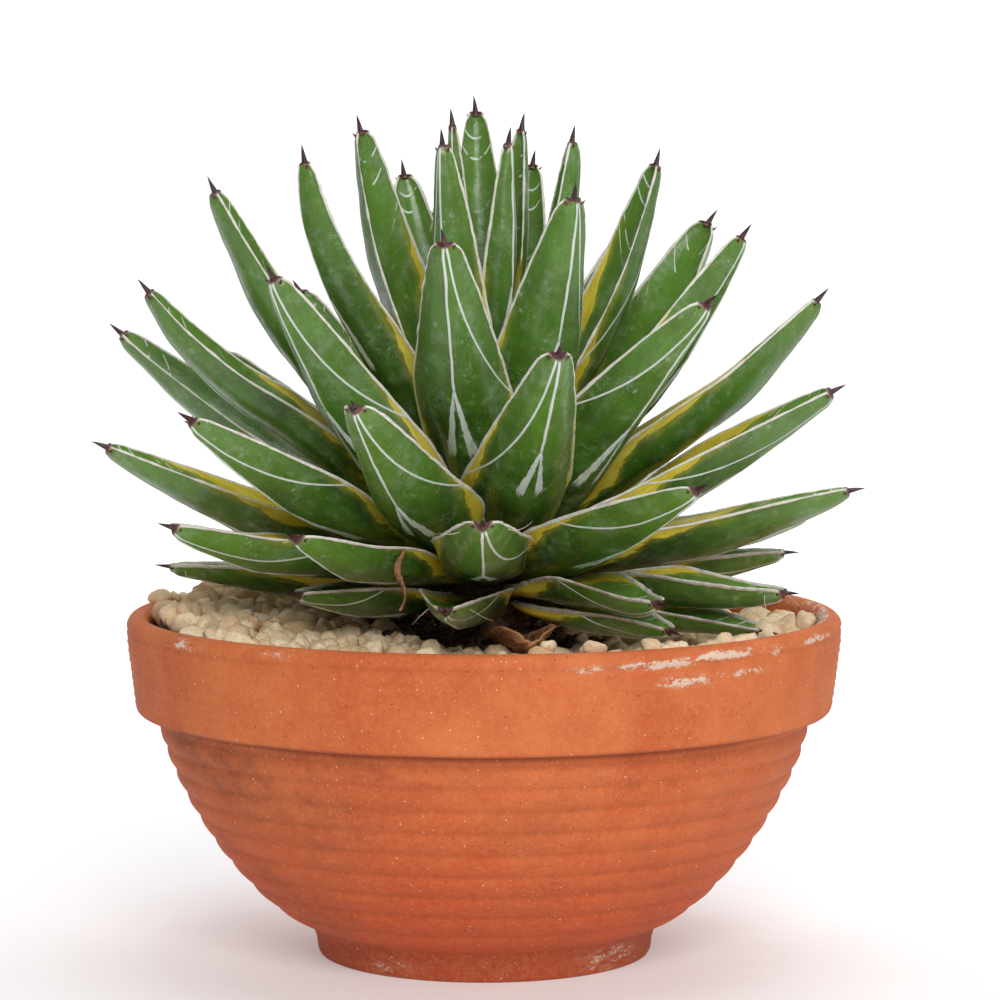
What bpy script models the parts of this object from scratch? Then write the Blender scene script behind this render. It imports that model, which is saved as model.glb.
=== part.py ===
"""Potted agave: a variegated rosette in a turned terracotta bowl with a gravel top dressing.

Metres, +Z up.  The origin is on the bowl's axis, on the surface that the bowl stands on.
Every leaf is a separate solid that starts on the stem and ends in its terminal spine.
"""
import math

import bmesh
import bpy
from mathutils import Matrix, Vector

# ---------------------------------------------------------------- bowl
RIM_RADIUS = 0.135            # widest point of the rolled rim
RIM_TOP = 0.130               # height of the rim's crest
RIM_WALL = 0.0085             # wall of the rim collar
COLLAR_HEIGHT = 0.0365        # height of the collar, crest to its underside
COLLAR_TAPER = 0.0034         # how much narrower the collar is at its lower edge
COLLAR_STEP = 0.0080          # how far the collar stands out over the body
BODY_WALL = 0.0075
FOOT_RADIUS = 0.0635
FOOT_HEIGHT = 0.012
FOOT_RING_WIDTH = 0.013       # flat ring that the bowl stands on
FOOT_RECESS = 0.004           # how far the underside is lifted inside the ring
FLOOR_THICKNESS = 0.009
DRAIN_RADIUS = 0.010
BODY_FULLNESS = (1.4, 1.45)   # exponents of the body's swelling curve
BOWL_STEPS = 48

# ---------------------------------------------------------------- fill
GAP = 0.0003                  # clearance between pieces that touch
SOIL_BELOW_RIM = 0.020        # levels of the fill are counted from the rim's crest
SOIL_MOUND_BELOW_RIM = 0.0135    # soil round the stem, inside the ring of gravel
GRAVEL_BELOW_RIM = 0.0105     # gravel's surface at the stem
GRAVEL_DISH = 0.032           # how steeply the gravel rises from the stem to the wall
GRAVEL_TILT = 0.0834          # how steeply it rises towards the heap at the back left
GRAVEL_BUMP = 0.0012          # unevenness of the stones
BARE_SOIL = 0.0105            # width of the bare ring of soil round the stem
GRAVEL_HEAP_BEARING = -112.0  # where the heap is highest, degrees from the front
GRAVEL_SECTORS = 40
GRAVEL_RINGS = 6

# ---------------------------------------------------------------- plant
STEM_RADIUS = 0.0235
STEM_NECK_RADIUS = 0.017
STEM_NECK_DEPTH = 0.009       # from the stem's widest girth down to its neck
STEM_OVER_RIM = 0.042         # levels of the plant are counted from the rim's crest
CROWN_OVER_RIM = 0.035        # rise and reach of a leaf start from here
GIRTH_OVER_RIM = 0.007        # level of the stem's widest girth

BASE_CROWDING = 1.25          # over 1, the low leaves start closer together

LEAF_WIDTH = 0.044            # full-grown leaf, margin to margin
LEAF_DEPTH = 0.0177           # margin plane to keel
LEAF_FLESH = 0.0101           # thickness between the channel and the keel
LEAF_ARCH = 0.45              # where along its length a leaf bends towards its tip
LEAF_LIFT = 0.33              # share of the depth that lies above the leaf's own line
SECTOR_REACH = math.radians(75)   # leaves further apart than this never meet
SECTOR_MARGIN = 0.0018        # least flesh between a section's middle and a neighbour
SECTION_HEART = 0.70          # middle of a section, from its channel towards its keel
SPINE_LENGTH = 0.0068
SPINE_RADIUS = 0.0016
SPINE_ROOT = 0.0008           # from the end of the blade to the spine's full girth
YOUNG_LEAF_SHARE = 0.66       # width of the innermost leaves
YOUNG_FROM_RISE = 58.0        # leaves steeper than this are still young

DRY_LEAF_BEARING = 14.0
DRY_LEAF_THICKNESS = 0.0014
DRY_LEAF_FOLDS = 6
# Dead leaf: distance from the bowl's axis, level over the rim, width (mm) and curl of its
# trough
DRY_LEAF_STATIONS = (
    (20.3, -8.4, 8.1, 0.20),
    (32.4, -8.1, 13.5, 0.35),
    (45.9, -6.8, 18.9, 0.50),
    (59.4, -5.4, 21.6, 0.60),
    (72.9, -4.6, 20.3, 0.55),
)

# Leaf outline along its length: (distance from the base, width, depth) as shares
LEAF_OUTLINE = (
    (0.00, 0.60, 0.52),
    (0.12, 0.90, 0.78),
    (0.25, 1.00, 0.97),
    (0.38, 0.93, 1.00),
    (0.54, 0.80, 0.94),
    (0.71, 0.63, 0.78),
    (0.87, 0.43, 0.56),
    (0.97, 0.27, 0.37),
    (1.00, 0.15, 0.24),
)

# Leaf section: (across, up) with the channel on the upper side and the keel below
LEAF_SECTION = (
    (-1.00, 0.00, "margin"),
    (-0.50, -0.75, "channel"),
    (0.00, -1.00, "channel"),
    (0.50, -0.75, "channel"),
    (1.00, 0.00, "margin"),
    (0.64, -0.66, "keel"),
    (0.00, -1.00, "keel"),
    (-0.64, -0.66, "keel"),
)

# The two lowest leaves end inside the rim: bearing from the front (degrees), level of the
# spine's tip over the rim's crest (mm), distance in from the rim's widest point (mm),
# roll, steeper and width as below
TUCKED_LEAVES = (
    (62, -2, 13, 10, 0, 0.62),
    (38, 2, 20, 0, 0, 0.70),
)

# One row for each other leaf, from the outermost leaves up to the heart of the rosette:
# bearing from the front, positive to the right (degrees), rise above the horizontal
# (degrees), reach from the crown to the spine's tip (mm), roll about its own line
# (degrees), how much steeper it starts than it ends (degrees), width as a share of a
# full-grown leaf
LEAVES = (
    # resting on the gravel
    (-7, -11, 117, 0, 0, 0.85),
    (-46, -12, 102, 0, 0, 0.72),
    (33, -10, 122, 0, 0, 0.80),
    (60, -9, 134, 0, 0, 0.85),
    (-101, -9, 131, 0, 0, 0.72),
    (105, -7, 127, 0, 0, 0.80),
    (138, -5, 130, 0, 0, 0.85),
    (175, -4, 132, 0, 0, 0.85),
    (-140, -4, 132, 0, 0, 0.85),
    # spreading
    (-58, 2, 138, 0, 0, 0.95),
    (-32, 2, 130, 0, 0, 0.90),
    (0, 5, 140, 0, 0, 1.00),
    (88, 5, 144, 0, 3, 0.95),
    (33, 9, 145, 0, 6, 1.00),
    (-80, 12, 151, -8, 0, 0.95),
    (114, -1, 145, 0, 3, 0.95),
    (146, 10, 148, 0, 0, 0.95),
    (170, 13, 148, 0, 0, 0.95),
    (-164, 10, 148, 0, 0, 0.95),
    (-138, 11, 150, 0, 0, 0.95),
    (-49, 18, 150, 0, 3, 1.00),
    (77, 21, 147, 12, 7, 1.00),
    (-19, 21, 150, 0, 0, 1.00),
    (-118, 3, 145, 0, 0, 0.95),
    (12, 29, 150, 0, 0, 1.00),
    (-96, 27, 161, -15, 0, 0.95),
    (-128, 24, 152, -15, 0, 0.95),
    (86, 34, 156, 0, 0, 1.00),
    (-80, 35, 159, -15, -4, 1.00),
    (43, 36, 150, 0, 14, 1.00),
    (158, 30, 150, 0, 0, 0.95),
    (-176, 33, 150, 0, 0, 0.95),
    # rising
    (-43, 41, 150, 0, 0, 1.00),
    (-8, 48, 150, 0, 0, 1.00),
    (83, 48, 150, -12, 5, 1.00),
    (110, 51, 150, 30, 0, 1.05),
    (-79, 51, 166, -18, -2, 1.00),
    (147, 46, 150, 0, 0, 0.95),
    (-168, 54, 150, 0, 0, 0.95),
    (-139, 37, 146, 0, 0, 0.95),
    (25, 58, 150, 0, 0, 1.00),
    (-70, 63, 158, 0, -9, 0.95),
    (100, 64, 155, 16, 0, 0.95),
    (-146, 67, 147, -15, 0, 0.95),
    (160, 68, 150, 0, 0, 0.90),
    # heart
    (-104, 72, 160, -30, 0, 1.05),
    (-30, 78, 150, 0, 0, 0.90),
    (96, 77, 152, 0, 0, 1.05),
    (-173, 80, 162, 0, 0, 1.00),
    (129, 83, 154, 0, 0, 0.80),
    (-115, 85, 155, 0, 0, 0.70),
    (47, 85, 148, 0, 0, 0.75),
)


# ---------------------------------------------------------------- helpers
def remove_scene_objects():
    for old in list(bpy.data.objects):
        bpy.data.objects.remove(old, do_unlink=True)


def make_collection(name):
    collection = bpy.data.collections.new(name)
    bpy.context.scene.collection.children.link(collection)
    return collection


def make_material(name, color, roughness, metallic=0.0):
    material = bpy.data.materials.new(name)
    material.use_nodes = True
    shader = material.node_tree.nodes["Principled BSDF"]
    shader.inputs["Base Color"].default_value = (*color, 1.0)
    shader.inputs["Roughness"].default_value = roughness
    shader.inputs["Metallic"].default_value = metallic
    return material


def add_object(name, mesh, collection, material):
    mesh.materials.append(material)
    mesh.shade_smooth()
    mesh.set_sharp_from_angle(angle=math.radians(35))
    piece = bpy.data.objects.new(name, mesh)
    collection.objects.link(piece)
    return piece


def turned(name, profile, closed, steps, collection, material):
    """Turn a profile of (radius, height) points, listed down its outer side, about +Z."""
    mesh = bpy.data.meshes.new(name)
    edges = [(i, i + 1) for i in range(len(profile) - 1)]
    if closed:
        edges.append((len(profile) - 1, 0))
    mesh.from_pydata([(radius, 0.0, height) for radius, height in profile], edges, [])
    piece = add_object(name, mesh, collection, material)
    screw = piece.modifiers.new("turn", "SCREW")
    screw.steps = steps
    screw.render_steps = steps
    screw.use_merge_vertices = True
    screw.merge_threshold = 0.00002
    screw.use_normal_calculate = False
    return piece


def heading(bearing):
    """Unit vector along the ground; bearing is in degrees from the front, to the right."""
    angle = math.radians(bearing)
    return Vector((math.sin(angle), -math.cos(angle), 0.0))


# ---------------------------------------------------------------- bowl
def crease_height():
    return RIM_TOP - COLLAR_HEIGHT


def soil_top():
    return RIM_TOP - SOIL_BELOW_RIM


def mound_top():
    return RIM_TOP - SOIL_MOUND_BELOW_RIM


def body_radius(height):
    """Outer radius of the swelling body between the foot and the collar's crease."""
    share = (height - FOOT_HEIGHT) / (crease_height() - FOOT_HEIGHT)
    rise_power, swell_power = BODY_FULLNESS
    swell = (1.0 - (1.0 - share) ** rise_power) ** (1.0 / swell_power)
    neck = FOOT_RADIUS + 0.002
    return neck + (RIM_RADIUS - COLLAR_TAPER - COLLAR_STEP - neck) * swell


def arc(center, radii, start, end, count):
    """Points on an ellipse arc, angles in degrees from +radius towards +height."""
    points = []
    for i in range(count + 1):
        angle = math.radians(start + (end - start) * i / count)
        points.append((center[0] + radii[0] * math.cos(angle),
                       center[1] + radii[1] * math.sin(angle)))
    return points


def body_points(offset, low, high, count):
    """Points of the body from high to low, moved inwards by offset."""
    points = []
    for i in range(count + 1):
        height = high + (low - high) * i / count
        points.append((body_radius(height) - offset, height))
    return points


def inner_body_points(offset, count):
    """Inner side of the body, from the floor's edge up to the collar's crease."""
    low = FOOT_HEIGHT + FLOOR_THICKNESS
    points = body_points(BODY_WALL + offset, low, crease_height(), count)
    return points[::-1]


def bowl_profile():
    collar_foot = RIM_RADIUS - COLLAR_TAPER
    lip = RIM_WALL / 2
    crease = crease_height()
    outer_lip = arc((RIM_RADIUS - lip, RIM_TOP - lip), (lip, lip), 90, 0, 4)
    collar_edge = arc((collar_foot - 0.002, crease + 0.002), (0.002, 0.002), 0, -80, 3)
    body = body_points(0.0, FOOT_HEIGHT + 0.002, crease, 12)
    foot = [(FOOT_RADIUS + 0.0022, FOOT_HEIGHT - 0.002), (FOOT_RADIUS, 0.0018),
            (FOOT_RADIUS - 0.0018, 0.0)]
    recess = [(FOOT_RADIUS - FOOT_RING_WIDTH, 0.0),
              (FOOT_RADIUS - FOOT_RING_WIDTH - 0.002, FOOT_RECESS)]
    drain = [(DRAIN_RADIUS, FOOT_RECESS), (DRAIN_RADIUS, FOOT_RECESS + FLOOR_THICKNESS)]
    inside = inner_body_points(0.0, 8)
    floor_edge = [(inside[0][0] - 0.010, FOOT_RECESS + FLOOR_THICKNESS)]
    inner_lip_foot = [(RIM_RADIUS - RIM_WALL - 0.0015, crease + 0.010)]
    inner_lip = arc((RIM_RADIUS - lip, RIM_TOP - lip), (lip, lip), 180, 112, 3)
    return (outer_lip + collar_edge + body + foot + recess + drain + floor_edge
            + inside + inner_lip_foot + inner_lip)


def inside_radius(height):
    """Radius of the bowl's inner wall at a height above the body's floor."""
    wall = inner_body_points(0.0, 8)
    wall.append((RIM_RADIUS - RIM_WALL - 0.0015, crease_height() + 0.010))
    wall.append((RIM_RADIUS - RIM_WALL, RIM_TOP - RIM_WALL / 2))
    for (r_low, z_low), (r_high, z_high) in zip(wall, wall[1:]):
        if z_low <= height <= z_high:
            return r_low + (r_high - r_low) * (height - z_low) / (z_high - z_low)
    return wall[-1][0]


def make_bowl(collection):
    clay = make_material("terracotta", (0.52, 0.20, 0.09), 0.85)
    turned("terracotta_bowl", bowl_profile(), True, BOWL_STEPS, collection, clay)


# ---------------------------------------------------------------- fill
def make_soil(collection):
    """Potting mix from the bowl's floor to under the gravel, with a mound at the stem."""
    dark = make_material("potting_soil", (0.045, 0.032, 0.022), 0.95)
    floor = FOOT_RECESS + FLOOR_THICKNESS + GAP
    wall = [(radius, height) for radius, height in inner_body_points(GAP, 8)]
    top = [(inside_radius(soil_top()) - 2 * GAP, soil_top())]
    collar = [(RIM_RADIUS - RIM_WALL - 0.0015 - 2 * GAP, crease_height() + 0.010)]
    base = [(wall[0][0] - 0.010, floor), (0.0, floor)]
    mound = STEM_RADIUS + BARE_SOIL - GAP
    heap = [(0.0, mound_top()), (mound - 0.003, mound_top()),
            (mound, mound_top() - 0.002), (mound, soil_top())]
    outline = heap + top + collar + wall[::-1] + base
    turned("potting_soil", outline, False, 48, collection, dark)


def gravel_height(x, y):
    """Height of the gravel's surface: a heap at the back left, low at the right rim."""
    toward_heap = heading(GRAVEL_HEAP_BEARING).dot(Vector((x, y, 0.0)))
    lift = GRAVEL_TILT * toward_heap + GRAVEL_DISH * math.hypot(x, y)
    bumps = math.sin(310.0 * x + 1.3) * math.cos(270.0 * y - 0.6)
    return RIM_TOP - GRAVEL_BELOW_RIM + lift + GRAVEL_BUMP * bumps


def make_gravel(collection):
    """The top dressing as one bumpy ring that lies on the soil."""
    pumice = make_material("pumice_gravel", (0.47, 0.38, 0.28), 0.92)
    floor = soil_top() + GAP
    hole = STEM_RADIUS + BARE_SOIL
    mesh = bpy.data.meshes.new("gravel_layer")
    build = bmesh.new()
    top, bottom = [], []
    for ring in range(GRAVEL_RINGS + 1):
        share = ring / GRAVEL_RINGS
        top_row, bottom_row = [], []
        for sector in range(GRAVEL_SECTORS):
            way = heading(360.0 * sector / GRAVEL_SECTORS)
            outer = inside_radius(soil_top()) - 3 * GAP
            radius = hole + (outer - hole) * share
            spot = way * radius
            top_row.append(build.verts.new((spot.x, spot.y, gravel_height(spot.x, spot.y))))
            if ring in (0, GRAVEL_RINGS):
                bottom_row.append(build.verts.new((spot.x, spot.y, floor)))
        top.append(top_row)
        if bottom_row:
            bottom.append(bottom_row)
    for sector in range(GRAVEL_SECTORS):
        after = (sector + 1) % GRAVEL_SECTORS
        for inner, outer in zip(top, top[1:]):
            build.faces.new((inner[sector], outer[sector], outer[after], inner[after]))
        build.faces.new((bottom[0][sector], bottom[0][after],
                         bottom[1][after], bottom[1][sector]))
        build.faces.new((top[0][after], bottom[0][after], bottom[0][sector], top[0][sector]))
        build.faces.new((top[-1][sector], bottom[1][sector],
                         bottom[1][after], top[-1][after]))
    bmesh.ops.triangulate(build, faces=build.faces)
    build.to_mesh(mesh)
    build.free()
    add_object("gravel_layer", mesh, collection, pumice)


# ---------------------------------------------------------------- plant
def crown_center():
    """Middle of the stem's dome, on the level of its widest girth."""
    return Vector((0.0, 0.0, RIM_TOP + GIRTH_OVER_RIM))


def dome_rise():
    return STEM_OVER_RIM - GIRTH_OVER_RIM


def make_stem(collection):
    """Short stem that stands on the soil and carries every leaf on its domed top."""
    bark = make_material("stem", (0.10, 0.065, 0.035), 0.85)
    girth = crown_center().z
    dome = arc((0.0, girth), (STEM_RADIUS, dome_rise()), 90, 0, 8)
    neck = [(STEM_NECK_RADIUS, girth - STEM_NECK_DEPTH),
            (STEM_NECK_RADIUS, mound_top() + GAP), (0.0, mound_top() + GAP)]
    turned("stem", [(0.0, girth + dome_rise())] + dome[1:] + neck, False, 32,
           collection, bark)


def leaf_rows():
    """All leaves, the tucked ones first, each with its rise and reach from the crown."""
    rows = []
    for bearing, level, inset, roll, steeper, share in TUCKED_LEAVES:
        out = RIM_RADIUS - inset * 0.001
        drop = level * 0.001 - CROWN_OVER_RIM
        rise = math.degrees(math.atan2(drop, out))
        rows.append((bearing, rise, math.hypot(out, drop) * 1000.0, roll, steeper, share))
    return rows + list(LEAVES)


def leaf_base(bearing, rise):
    """Where a leaf leaves the stem's dome, and the direction straight out of it there."""
    lowest = min(row[1] for row in leaf_rows())
    climb = ((rise - lowest) / (90.0 - lowest)) ** BASE_CROWDING
    slope = math.radians(90.0 * climb)
    way = heading(bearing)
    radius = STEM_RADIUS * math.cos(slope)
    height = dome_rise() * math.sin(slope)
    out = way * (math.cos(slope) / STEM_RADIUS)
    out.z = math.sin(slope) / dome_rise()
    out.normalize()
    return crown_center() + way * radius + Vector((0, 0, height)) + out * GAP, out


def leaf_tip(bearing, rise, reach):
    lift = math.radians(rise)
    return (heading(bearing) * (reach * math.cos(lift))
            + Vector((0, 0, RIM_TOP + CROWN_OVER_RIM + reach * math.sin(lift))))


def leaf_width(rise, share):
    """Young leaves near the heart are narrower than full-grown ones."""
    youth = max(0.0, (rise - YOUNG_FROM_RISE) / (90.0 - YOUNG_FROM_RISE))
    return LEAF_WIDTH * share * (1.0 - (1.0 - YOUNG_LEAF_SHARE) * youth)


def curve_point(points, t):
    """Point and direction on a quadratic curve through its three control points."""
    start, middle, end = points
    spot = start * (1 - t) ** 2 + middle * (2 * t * (1 - t)) + end * t ** 2
    way = (middle - start) * (1 - t) + (end - middle) * t
    return spot, way.normalized()


def leaf_way(row):
    """Direction of a leaf as seen from the middle of the stem's dome."""
    bearing, rise, reach_mm = row[:3]
    return (leaf_tip(bearing, rise, reach_mm * 0.001) - crown_center()).normalized()


def sector_walls(row):
    """Outward normals of the planes through the dome's middle that bound a leaf's room.

    A wall stands between two neighbours, where both leaves would take the same share of
    the space, counted in leaf widths sideways and in leaf depths up and down.
    """
    own = leaf_way(row)
    walls = []
    for other_row in leaf_rows():
        other = leaf_way(other_row)
        if other_row == row or own.angle(other) > SECTOR_REACH:
            continue
        middle = (own + other).normalized()
        sideways = Vector((0, 0, 1)).cross(middle).normalized()
        upward = middle.cross(sideways)
        apart = other - own
        wall = (sideways * (apart.dot(sideways) / LEAF_WIDTH ** 2)
                + upward * (apart.dot(upward) / LEAF_DEPTH ** 2))
        walls.append(wall.normalized())
    return walls


def section_middle(ring):
    """A point in the flesh that sees every corner of the section."""
    return ring[2].lerp(ring[6], SECTION_HEART)


def middle_in_sector(middle, own, walls):
    """A section's middle, moved towards its sector's axis until it is clear of the walls."""
    center = crown_center()
    axis = own * (middle - center).length
    share = 0.0
    for wall in walls:
        room, most = -wall.dot(middle - center), -wall.dot(axis)
        need = min(SECTOR_MARGIN, most * 0.6)
        if room < need:
            share = max(share, (need - room) / (most - room))
    return middle.lerp(center + axis, share)


def fit_ring(ring, own, walls):
    """A section ring drawn in towards its own middle until it is inside the walls."""
    center = crown_center()
    middle = section_middle(ring)
    inside = middle_in_sector(middle, own, walls)
    fitted = []
    for corner in ring:
        corner = corner + inside - middle
        share = 1.0
        for wall in walls:
            room = -wall.dot(inside - center) - GAP / 2
            excess = wall.dot(corner - center) + GAP / 2
            if excess > 0:
                share = min(share, room / (room + excess))
        fitted.append(inside.lerp(corner, share))
    return fitted


def seat_ring(ring, base, out, way):
    """The first ring, slid along the leaf onto the flat seat that faces the stem."""
    return [corner + way * ((base - corner).dot(out) / way.dot(out)) for corner in ring]


def leaf_rings(bearing, rise, reach, roll, steeper, share):
    """Section rings of one leaf from its base to the spine's root, and the spine's tip."""
    base, out = leaf_base(bearing, rise)
    tip = leaf_tip(bearing, rise, reach)
    length = (tip - base).length
    across = Vector((math.cos(math.radians(bearing)), math.sin(math.radians(bearing)), 0))
    start = (out + (tip - base).normalized()).normalized()
    start = Matrix.Rotation(math.radians(-steeper), 3, across) @ start
    control = (base, base + start * (LEAF_ARCH * length), tip)
    half = leaf_width(rise, share) / 2
    size = half / (LEAF_WIDTH / 2)
    depth = LEAF_DEPTH * size
    channel = (LEAF_DEPTH - LEAF_FLESH) * size
    blade = 1.0 - SPINE_LENGTH / length
    rings = []
    for along, wide, deep in LEAF_OUTLINE + ((1.0 + SPINE_ROOT / length, None, None),):
        spot, way = curve_point(control, along * blade)
        up = way.cross(across).normalized()
        turn = Matrix.Rotation(math.radians(roll) * along, 3, way)
        side, lift = turn @ across, turn @ up
        ring = []
        for x, z, part in LEAF_SECTION:
            if wide is None:
                z = -z if part == "channel" else z
                ring.append(spot + side * (x * SPINE_RADIUS) + lift * (z * SPINE_RADIUS))
                continue
            drop = (channel if part == "channel" else depth) * deep
            height = z * drop + depth * LEAF_LIFT * deep
            ring.append(spot + side * (x * wide * half) + lift * height)
        rings.append(ring)
    return rings, tip


def make_leaf(name, row, collection, material):
    bearing, rise, reach_mm, roll, steeper, share = row
    rings, tip = leaf_rings(bearing, rise, reach_mm * 0.001, roll, steeper, share)
    walls = sector_walls(row)
    base, out = leaf_base(bearing, rise)
    own = leaf_way(row)
    rings = [fit_ring(ring, own, walls) for ring in rings]
    way = (sum(rings[1], Vector()) - sum(rings[0], Vector())).normalized()
    rings[0] = fit_ring(seat_ring(rings[0], base, out, way), own, walls)
    mesh = bpy.data.meshes.new(name)
    build = bmesh.new()
    loops = [[build.verts.new(corner) for corner in ring] for ring in rings]
    apex = build.verts.new(tip)
    count = len(LEAF_SECTION)
    for low, high in zip(loops, loops[1:]):
        for i in range(count):
            j = (i + 1) % count
            build.faces.new((low[j], low[i], high[i], high[j]))
    hub = build.verts.new(section_middle(rings[0]))
    for i in range(count):
        j = (i + 1) % count
        build.faces.new((loops[-1][j], loops[-1][i], apex))
        build.faces.new((loops[0][i], loops[0][j], hub))
    bmesh.ops.triangulate(build, faces=build.faces)
    build.to_mesh(mesh)
    build.free()
    add_object(name, mesh, collection, material)


def make_leaves(collection):
    green = make_material("variegated_leaf", (0.10, 0.20, 0.05), 0.42)
    for number, row in enumerate(leaf_rows(), start=1):
        make_leaf(f"leaf_{number:02d}", row, collection, green)


# ---------------------------------------------------------------- dead growth
def make_dry_leaf(collection):
    """A shrivelled brown leaf, curled to a trough, that lies between stem and gravel."""
    brown = make_material("dry_leaf", (0.22, 0.10, 0.05), 0.80)
    way = heading(DRY_LEAF_BEARING)
    across = way.cross(Vector((0, 0, 1)))
    mesh = bpy.data.meshes.new("dry_leaf")
    build = bmesh.new()
    loops = []
    for along, level, width, curl in DRY_LEAF_STATIONS:
        spot = way * (along * 0.001) + Vector((0, 0, RIM_TOP + level * 0.001))
        half = width * 0.001 / 2
        under, upper = [], []
        for i in range(DRY_LEAF_FOLDS + 1):
            share = 2.0 * i / DRY_LEAF_FOLDS - 1.0
            sag = half * curl * (share * share - 0.5)
            under.append(spot + across * (share * half) + Vector((0, 0, sag)))
            thick = DRY_LEAF_THICKNESS * (1.0 - 0.5 * abs(share))
            upper.append(under[-1] + Vector((0, 0, thick)))
        loops.append([build.verts.new(corner) for corner in under + upper[::-1]])
    count = len(loops[0])
    for low, high in zip(loops, loops[1:]):
        for i in range(count):
            j = (i + 1) % count
            build.faces.new((low[i], low[j], high[j], high[i]))
    for i in range(DRY_LEAF_FOLDS):
        near, far = loops[0], loops[-1]
        build.faces.new((near[count - 1 - i], near[count - 2 - i], near[i + 1], near[i]))
        build.faces.new((far[i], far[i + 1], far[count - 2 - i], far[count - 1 - i]))
    bmesh.ops.triangulate(build, faces=build.faces)
    bmesh.ops.recalc_face_normals(build, faces=build.faces)
    build.to_mesh(mesh)
    build.free()
    add_object("dry_leaf", mesh, collection, brown)


def main():
    remove_scene_objects()
    collection = make_collection("potted_agave")
    make_bowl(collection)
    make_soil(collection)
    make_gravel(collection)
    make_stem(collection)
    make_leaves(collection)
    make_dry_leaf(collection)


main()
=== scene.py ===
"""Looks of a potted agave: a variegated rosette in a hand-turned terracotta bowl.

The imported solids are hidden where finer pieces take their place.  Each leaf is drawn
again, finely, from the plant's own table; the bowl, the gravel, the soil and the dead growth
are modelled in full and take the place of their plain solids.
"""
import logging
import math
import random
from dataclasses import dataclass, field
from enum import Enum
from typing import Callable, Optional, Sequence, Union

import bmesh
import bpy
import numpy as np
from mathutils import Matrix, Vector, noise


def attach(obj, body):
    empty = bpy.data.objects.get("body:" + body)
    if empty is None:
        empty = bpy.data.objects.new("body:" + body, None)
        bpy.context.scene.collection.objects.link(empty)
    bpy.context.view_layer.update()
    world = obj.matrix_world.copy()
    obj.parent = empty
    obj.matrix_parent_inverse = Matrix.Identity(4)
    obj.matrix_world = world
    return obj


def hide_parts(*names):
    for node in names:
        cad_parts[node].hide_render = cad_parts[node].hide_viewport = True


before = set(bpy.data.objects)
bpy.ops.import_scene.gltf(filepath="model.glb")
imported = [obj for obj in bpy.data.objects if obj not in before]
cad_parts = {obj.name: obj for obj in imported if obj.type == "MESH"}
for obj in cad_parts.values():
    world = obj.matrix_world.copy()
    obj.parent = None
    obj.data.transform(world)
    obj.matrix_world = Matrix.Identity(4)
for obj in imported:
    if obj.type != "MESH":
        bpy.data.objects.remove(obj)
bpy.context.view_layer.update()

log = logging.getLogger("potted_agave")

MM = 0.001
Socket = bpy.types.NodeSocket
Value = Union[float, Socket]
Color = tuple[float, float, float]


# ------------------------------------------------------------------ small helpers
def srgb(red: int, green: int, blue: int) -> tuple[float, float, float, float]:
    """Turn a screen colour into the linear colour that a shader takes.

    Args:
        red: Red, 0 to 255.
        green: Green, 0 to 255.
        blue: Blue, 0 to 255.

    Returns:
        The linear colour with an alpha of one.
    """
    linear = []
    for part in (red, green, blue):
        share = part / 255.0
        linear.append(share / 12.92 if share <= 0.04045 else ((share + 0.055) / 1.055) ** 2.4)
    return linear[0], linear[1], linear[2], 1.0


def heading(bearing: float) -> Vector:
    """Unit vector along the ground.

    Args:
        bearing: Degrees from the front, positive to the right.

    Returns:
        The unit vector.
    """
    angle = math.radians(bearing)
    return Vector((math.sin(angle), -math.cos(angle), 0.0))


def catmull(points: np.ndarray, where: np.ndarray) -> np.ndarray:
    """Smooth curve through evenly numbered points.

    Args:
        points: Control points, one row each, with any number of columns.
        where: Places on the curve, from 0 to the number of points less one.

    Returns:
        One row for each place asked for.
    """
    last = len(points) - 1
    padded = np.concatenate([[2 * points[0] - points[1]], points,
                             [2 * points[-1] - points[-2]]])
    cell = np.clip(np.floor(where).astype(int), 0, last - 1)
    t = (where - cell).reshape((-1,) + (1,) * (points.ndim - 1))
    a, b, c, d = (padded[cell + i] for i in range(4))
    return 0.5 * (2 * b + (c - a) * t + (2 * a - 5 * b + 4 * c - d) * t ** 2
                  + (3 * b - a - 3 * c + d) * t ** 3)


def new_piece(name: str, mesh: bpy.types.Mesh) -> bpy.types.Object:
    """Put a mesh in the scene as a piece of the object.

    Args:
        name: Name of the piece.
        mesh: Its mesh.

    Returns:
        The new object, riding on the only body.
    """
    piece = bpy.data.objects.new(name, mesh)
    bpy.context.scene.collection.objects.link(piece)
    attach(piece, "root")
    return piece


def add_values(mesh: bpy.types.Mesh, name: str, values: Sequence[float]) -> None:
    """Store one number for each vertex under a name that materials can read.

    Args:
        mesh: Mesh that takes the numbers.
        name: Name of the attribute.
        values: One number for each vertex.
    """
    layer = mesh.attributes.new(name, "FLOAT", "POINT")
    layer.data.foreach_set("value", np.asarray(values, np.float32))


def new_mesh(name: str, verts: Sequence, faces: Sequence, material: bpy.types.Material,
             **values: Sequence[float]) -> bpy.types.Mesh:
    """Make a smooth-shaded mesh with one material.

    Args:
        name: Name of the mesh.
        verts: Its points, in metres.
        faces: Its faces, as numbers of points.
        material: Its material.
        **values: Attributes to store, with one number for each vertex.

    Returns:
        The mesh.
    """
    mesh = bpy.data.meshes.new(name)
    mesh.from_pydata(verts, [], faces)
    mesh.shade_smooth()
    for key, numbers in values.items():
        add_values(mesh, key, numbers)
    mesh.materials.append(material)
    return mesh


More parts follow.
